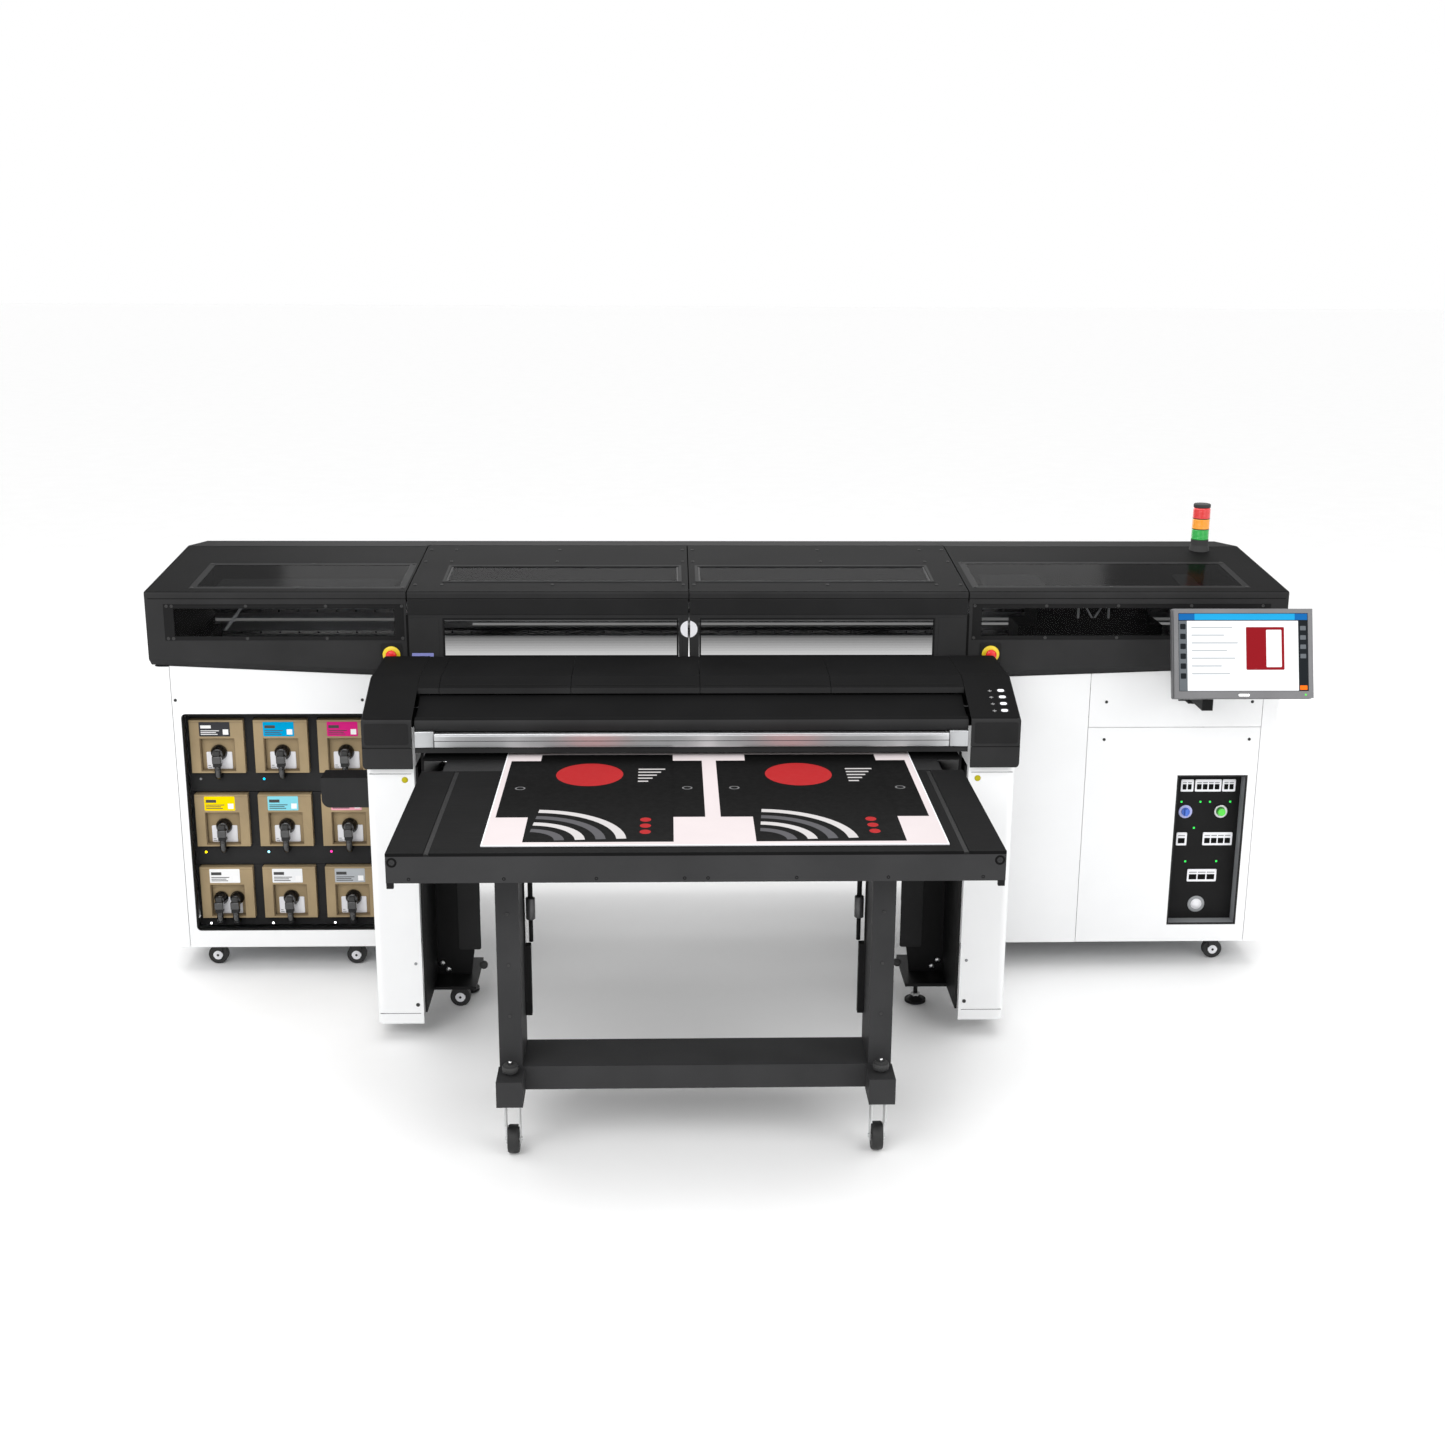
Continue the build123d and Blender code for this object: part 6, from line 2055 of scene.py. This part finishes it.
# ------------------------------------------------------------------------------ frame nodes
NODE_FINISHES: dict[str, Finish] = {
    "cabinet_frames": FRAME_GREY, "left_side_panel": WHITE_PAINT, "right_side_panel": WHITE_PAINT,
    "left_front_panel": WHITE_PAINT, "right_panels": WHITE_PAINT, "back_panels": WHITE_PAINT,
    "ink_rack": RACK, "electrical_panel": GRAPHITE, "left_end_cover": CHARCOAL,
    "right_end_cover": CHARCOAL, "hood_left": CHARCOAL, "hood_right": CHARCOAL,
    "centre_fascia": BLACK_PLASTIC, "platen": DECK_BLACK, "transport_belt": BELT,
    "side_plates": BLACK_SATIN, "service_stations": GRAPHITE, "curing_module": GRAPHITE,
    "front_towers": BLACK_SATIN, "leg_panels": WHITE_PAINT, "end_caps": CHARCOAL,
    "front_guide": CHARCOAL, "beacon_base": BLACK_PLASTIC, "levelling_feet": ZINC,
    "cabinet_casters": TYRE, "junction_box": CHARCOAL, "monitor_bracket": BLACK_SATIN,
    "table_top": DECK_BLACK, "table_legs": LEG_GREY_PAINTED_FRONT_LIGHT, "output_cover": CHARCOAL,
    "carriage": BLACK_SATIN, "front_roller": ALLOY, "rear_roller": ALLOY,
    "main_switch": BLUE_KNOB, "start_button": GREEN_KNOB, "monitor_arm": BLACK_SATIN,
    "monitor": SILVER_BEZEL, "left_fork": ZINC, "right_fork": ZINC,
}
REAR_COVER = (-1057.5, 1045.5)
RACK_FRONT = 120.0


def repaint(name: str, finish: Finish, belongs: Callable[[Vector, Vector], bool]) -> None:
    """Gives some faces of a frame node a second finish.

    Args:
        name: the node.
        finish: the finish for those faces.
        belongs: tells from a face's middle, in millimetres, and its normal if it is one of them.
    """
    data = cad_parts[name].data
    data.materials.append(finish.material())
    for face in data.polygons:
        middle = face.center
        here = Vector(((middle.x - PRINT_X) / MM, (middle.y - FACE_Y) / MM, middle.z / MM))
        if belongs(here, face.normal):
            face.material_index = len(data.materials) - 1


def finish_nodes() -> None:
    """Gives each frame node that stays in view its finish."""
    for name, finish in NODE_FINISHES.items():
        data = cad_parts[name].data
        data.materials.clear()
        data.materials.append(finish.material())
    repaint("back_panels", CHARCOAL, lambda at, normal: REAR_COVER[0] < at.x < REAR_COVER[1])
    # painted light: forward-facing faces near the rack's front take the lighter copy
    repaint("ink_rack", RACK_PAINTED_FRONT_LIGHT, lambda at, normal: normal.y < -LID_NORMAL and at.y < RACK_FRONT)
    repaint("levelling_feet", BLACK_SATIN, lambda at, normal: at.y < 0)
    # painted shade: level faces of the charcoal nodes take the darker copy
    for name in NODE_FINISHES:
        paint_top_shade(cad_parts[name].data)


# ------------------------------------------------------------------------------ studio
@dataclass(frozen=True)
class Lamp:
    """A soft area lamp: where it hangs, what it faces, its size and its power."""

    name: str
    at: tuple[float, float, float]
    towards: tuple[float, float, float]
    size: tuple[float, float]
    power: float


@dataclass(frozen=True)
class Studio:
    """Pale floor, soft lamps, white surroundings and the camera."""

    lamps: tuple[Lamp, ...] = (
        Lamp("key", (-2.6, -5.2, 4.6), (0.0, 0.1, 0.7), (4.5, 3.0), 150),
        Lamp("fill", (4.2, -4.6, 3.4), (0.6, 0.2, 0.7), (3.5, 3.0), 70),
        Lamp("top", (0.0, 0.6, 5.4), (0.0, 0.2, 0.0), (7.0, 3.5), 110),
        Lamp("rear", (0.0, 6.5, 3.6), (0.0, 0.4, 0.8), (6.0, 2.5), 110),
    )
    eye: tuple[float, float, float] = (-0.2096, -6.323, 2.850)
    yaw: float = math.radians(1.782)
    pitch: float = math.radians(15.402)
    roll: float = math.radians(0.338)
    lens: float = 45.106

    def build(self) -> None:
        """Sets up floor, lamps, world and camera."""
        self._floor()
        for lamp in self.lamps:
            self._hang(lamp)
        self._world()
        self._camera()
        bpy.context.scene.view_settings.view_transform = "Standard"

    @staticmethod
    def _floor() -> None:
        """Large pale floor just under the feet."""
        mesh = bpy.data.meshes.new("studio_floor")
        half, low = 60.0, -0.001
        corners = [(-half, -half, low), (half, -half, low), (half, half, low), (-half, half, low)]
        mesh.from_pydata(corners, [], [(0, 1, 2, 3)])
        pale = Finish("pale_floor", (0.985, 0.985, 0.985), 0.55, Grain.POWDER, drift=0.01)
        mesh.materials.append(pale.material())
        floor = bpy.data.objects.new("studio_floor", mesh)
        bpy.context.scene.collection.objects.link(floor)

    @staticmethod
    def _hang(lamp: Lamp) -> None:
        """Hangs one lamp.

        Args:
            lamp: the lamp to hang.
        """
        data = bpy.data.lights.new(lamp.name, "AREA")
        data.shape = "RECTANGLE"
        data.size, data.size_y = lamp.size
        data.energy = lamp.power
        made = bpy.data.objects.new(lamp.name, data)
        bpy.context.scene.collection.objects.link(made)
        made.location = lamp.at
        aim = Vector(lamp.towards) - Vector(lamp.at)
        made.rotation_euler = aim.to_track_quat("-Z", "Y").to_euler()

    @staticmethod
    def _world() -> None:
        """Even white surroundings."""
        world = bpy.data.worlds.new("studio_world")
        world.use_nodes = True
        background = world.node_tree.nodes["Background"]
        background.inputs["Color"].default_value = (1.0, 1.0, 1.0, 1.0)
        background.inputs["Strength"].default_value = 1.0
        bpy.context.scene.world = world

    def _camera(self) -> None:
        """Camera in front of the machine, a little above its covers."""
        level = math.cos(self.pitch)
        forward = Vector((math.sin(self.yaw) * level, math.cos(self.yaw) * level, -math.sin(self.pitch)))
        right = Vector((math.cos(self.yaw), -math.sin(self.yaw), 0))
        up = right.cross(forward)
        across = right * math.cos(self.roll) + up * math.sin(self.roll)
        above = up * math.cos(self.roll) - right * math.sin(self.roll)
        data = bpy.data.cameras.new("eye")
        data.lens = self.lens
        data.sensor_width = 36.0
        data.clip_end = 200.0
        camera = bpy.data.objects.new("eye", data)
        bpy.context.scene.collection.objects.link(camera)
        turn = Matrix((across, above, -forward)).transposed().to_4x4()
        camera.matrix_world = Matrix.Translation(Vector(self.eye)) @ turn
        bpy.context.scene.camera = camera


def main() -> None:
    """Builds the printer's looks over the frame."""
    logging.basicConfig(level=logging.INFO, format="%(message)s")
    repeater = Repeater()
    finish_nodes()
    Covers(repeater).build()
    PrintEngine(repeater).build()
    InkBay().build()
    Connections().build()
    OutputUnit().build()
    Table().build()
    Signals().build()
    RunningGear().build()
    Back(repeater).build()
    Studio().build()


if __name__ == "__main__":
    main()
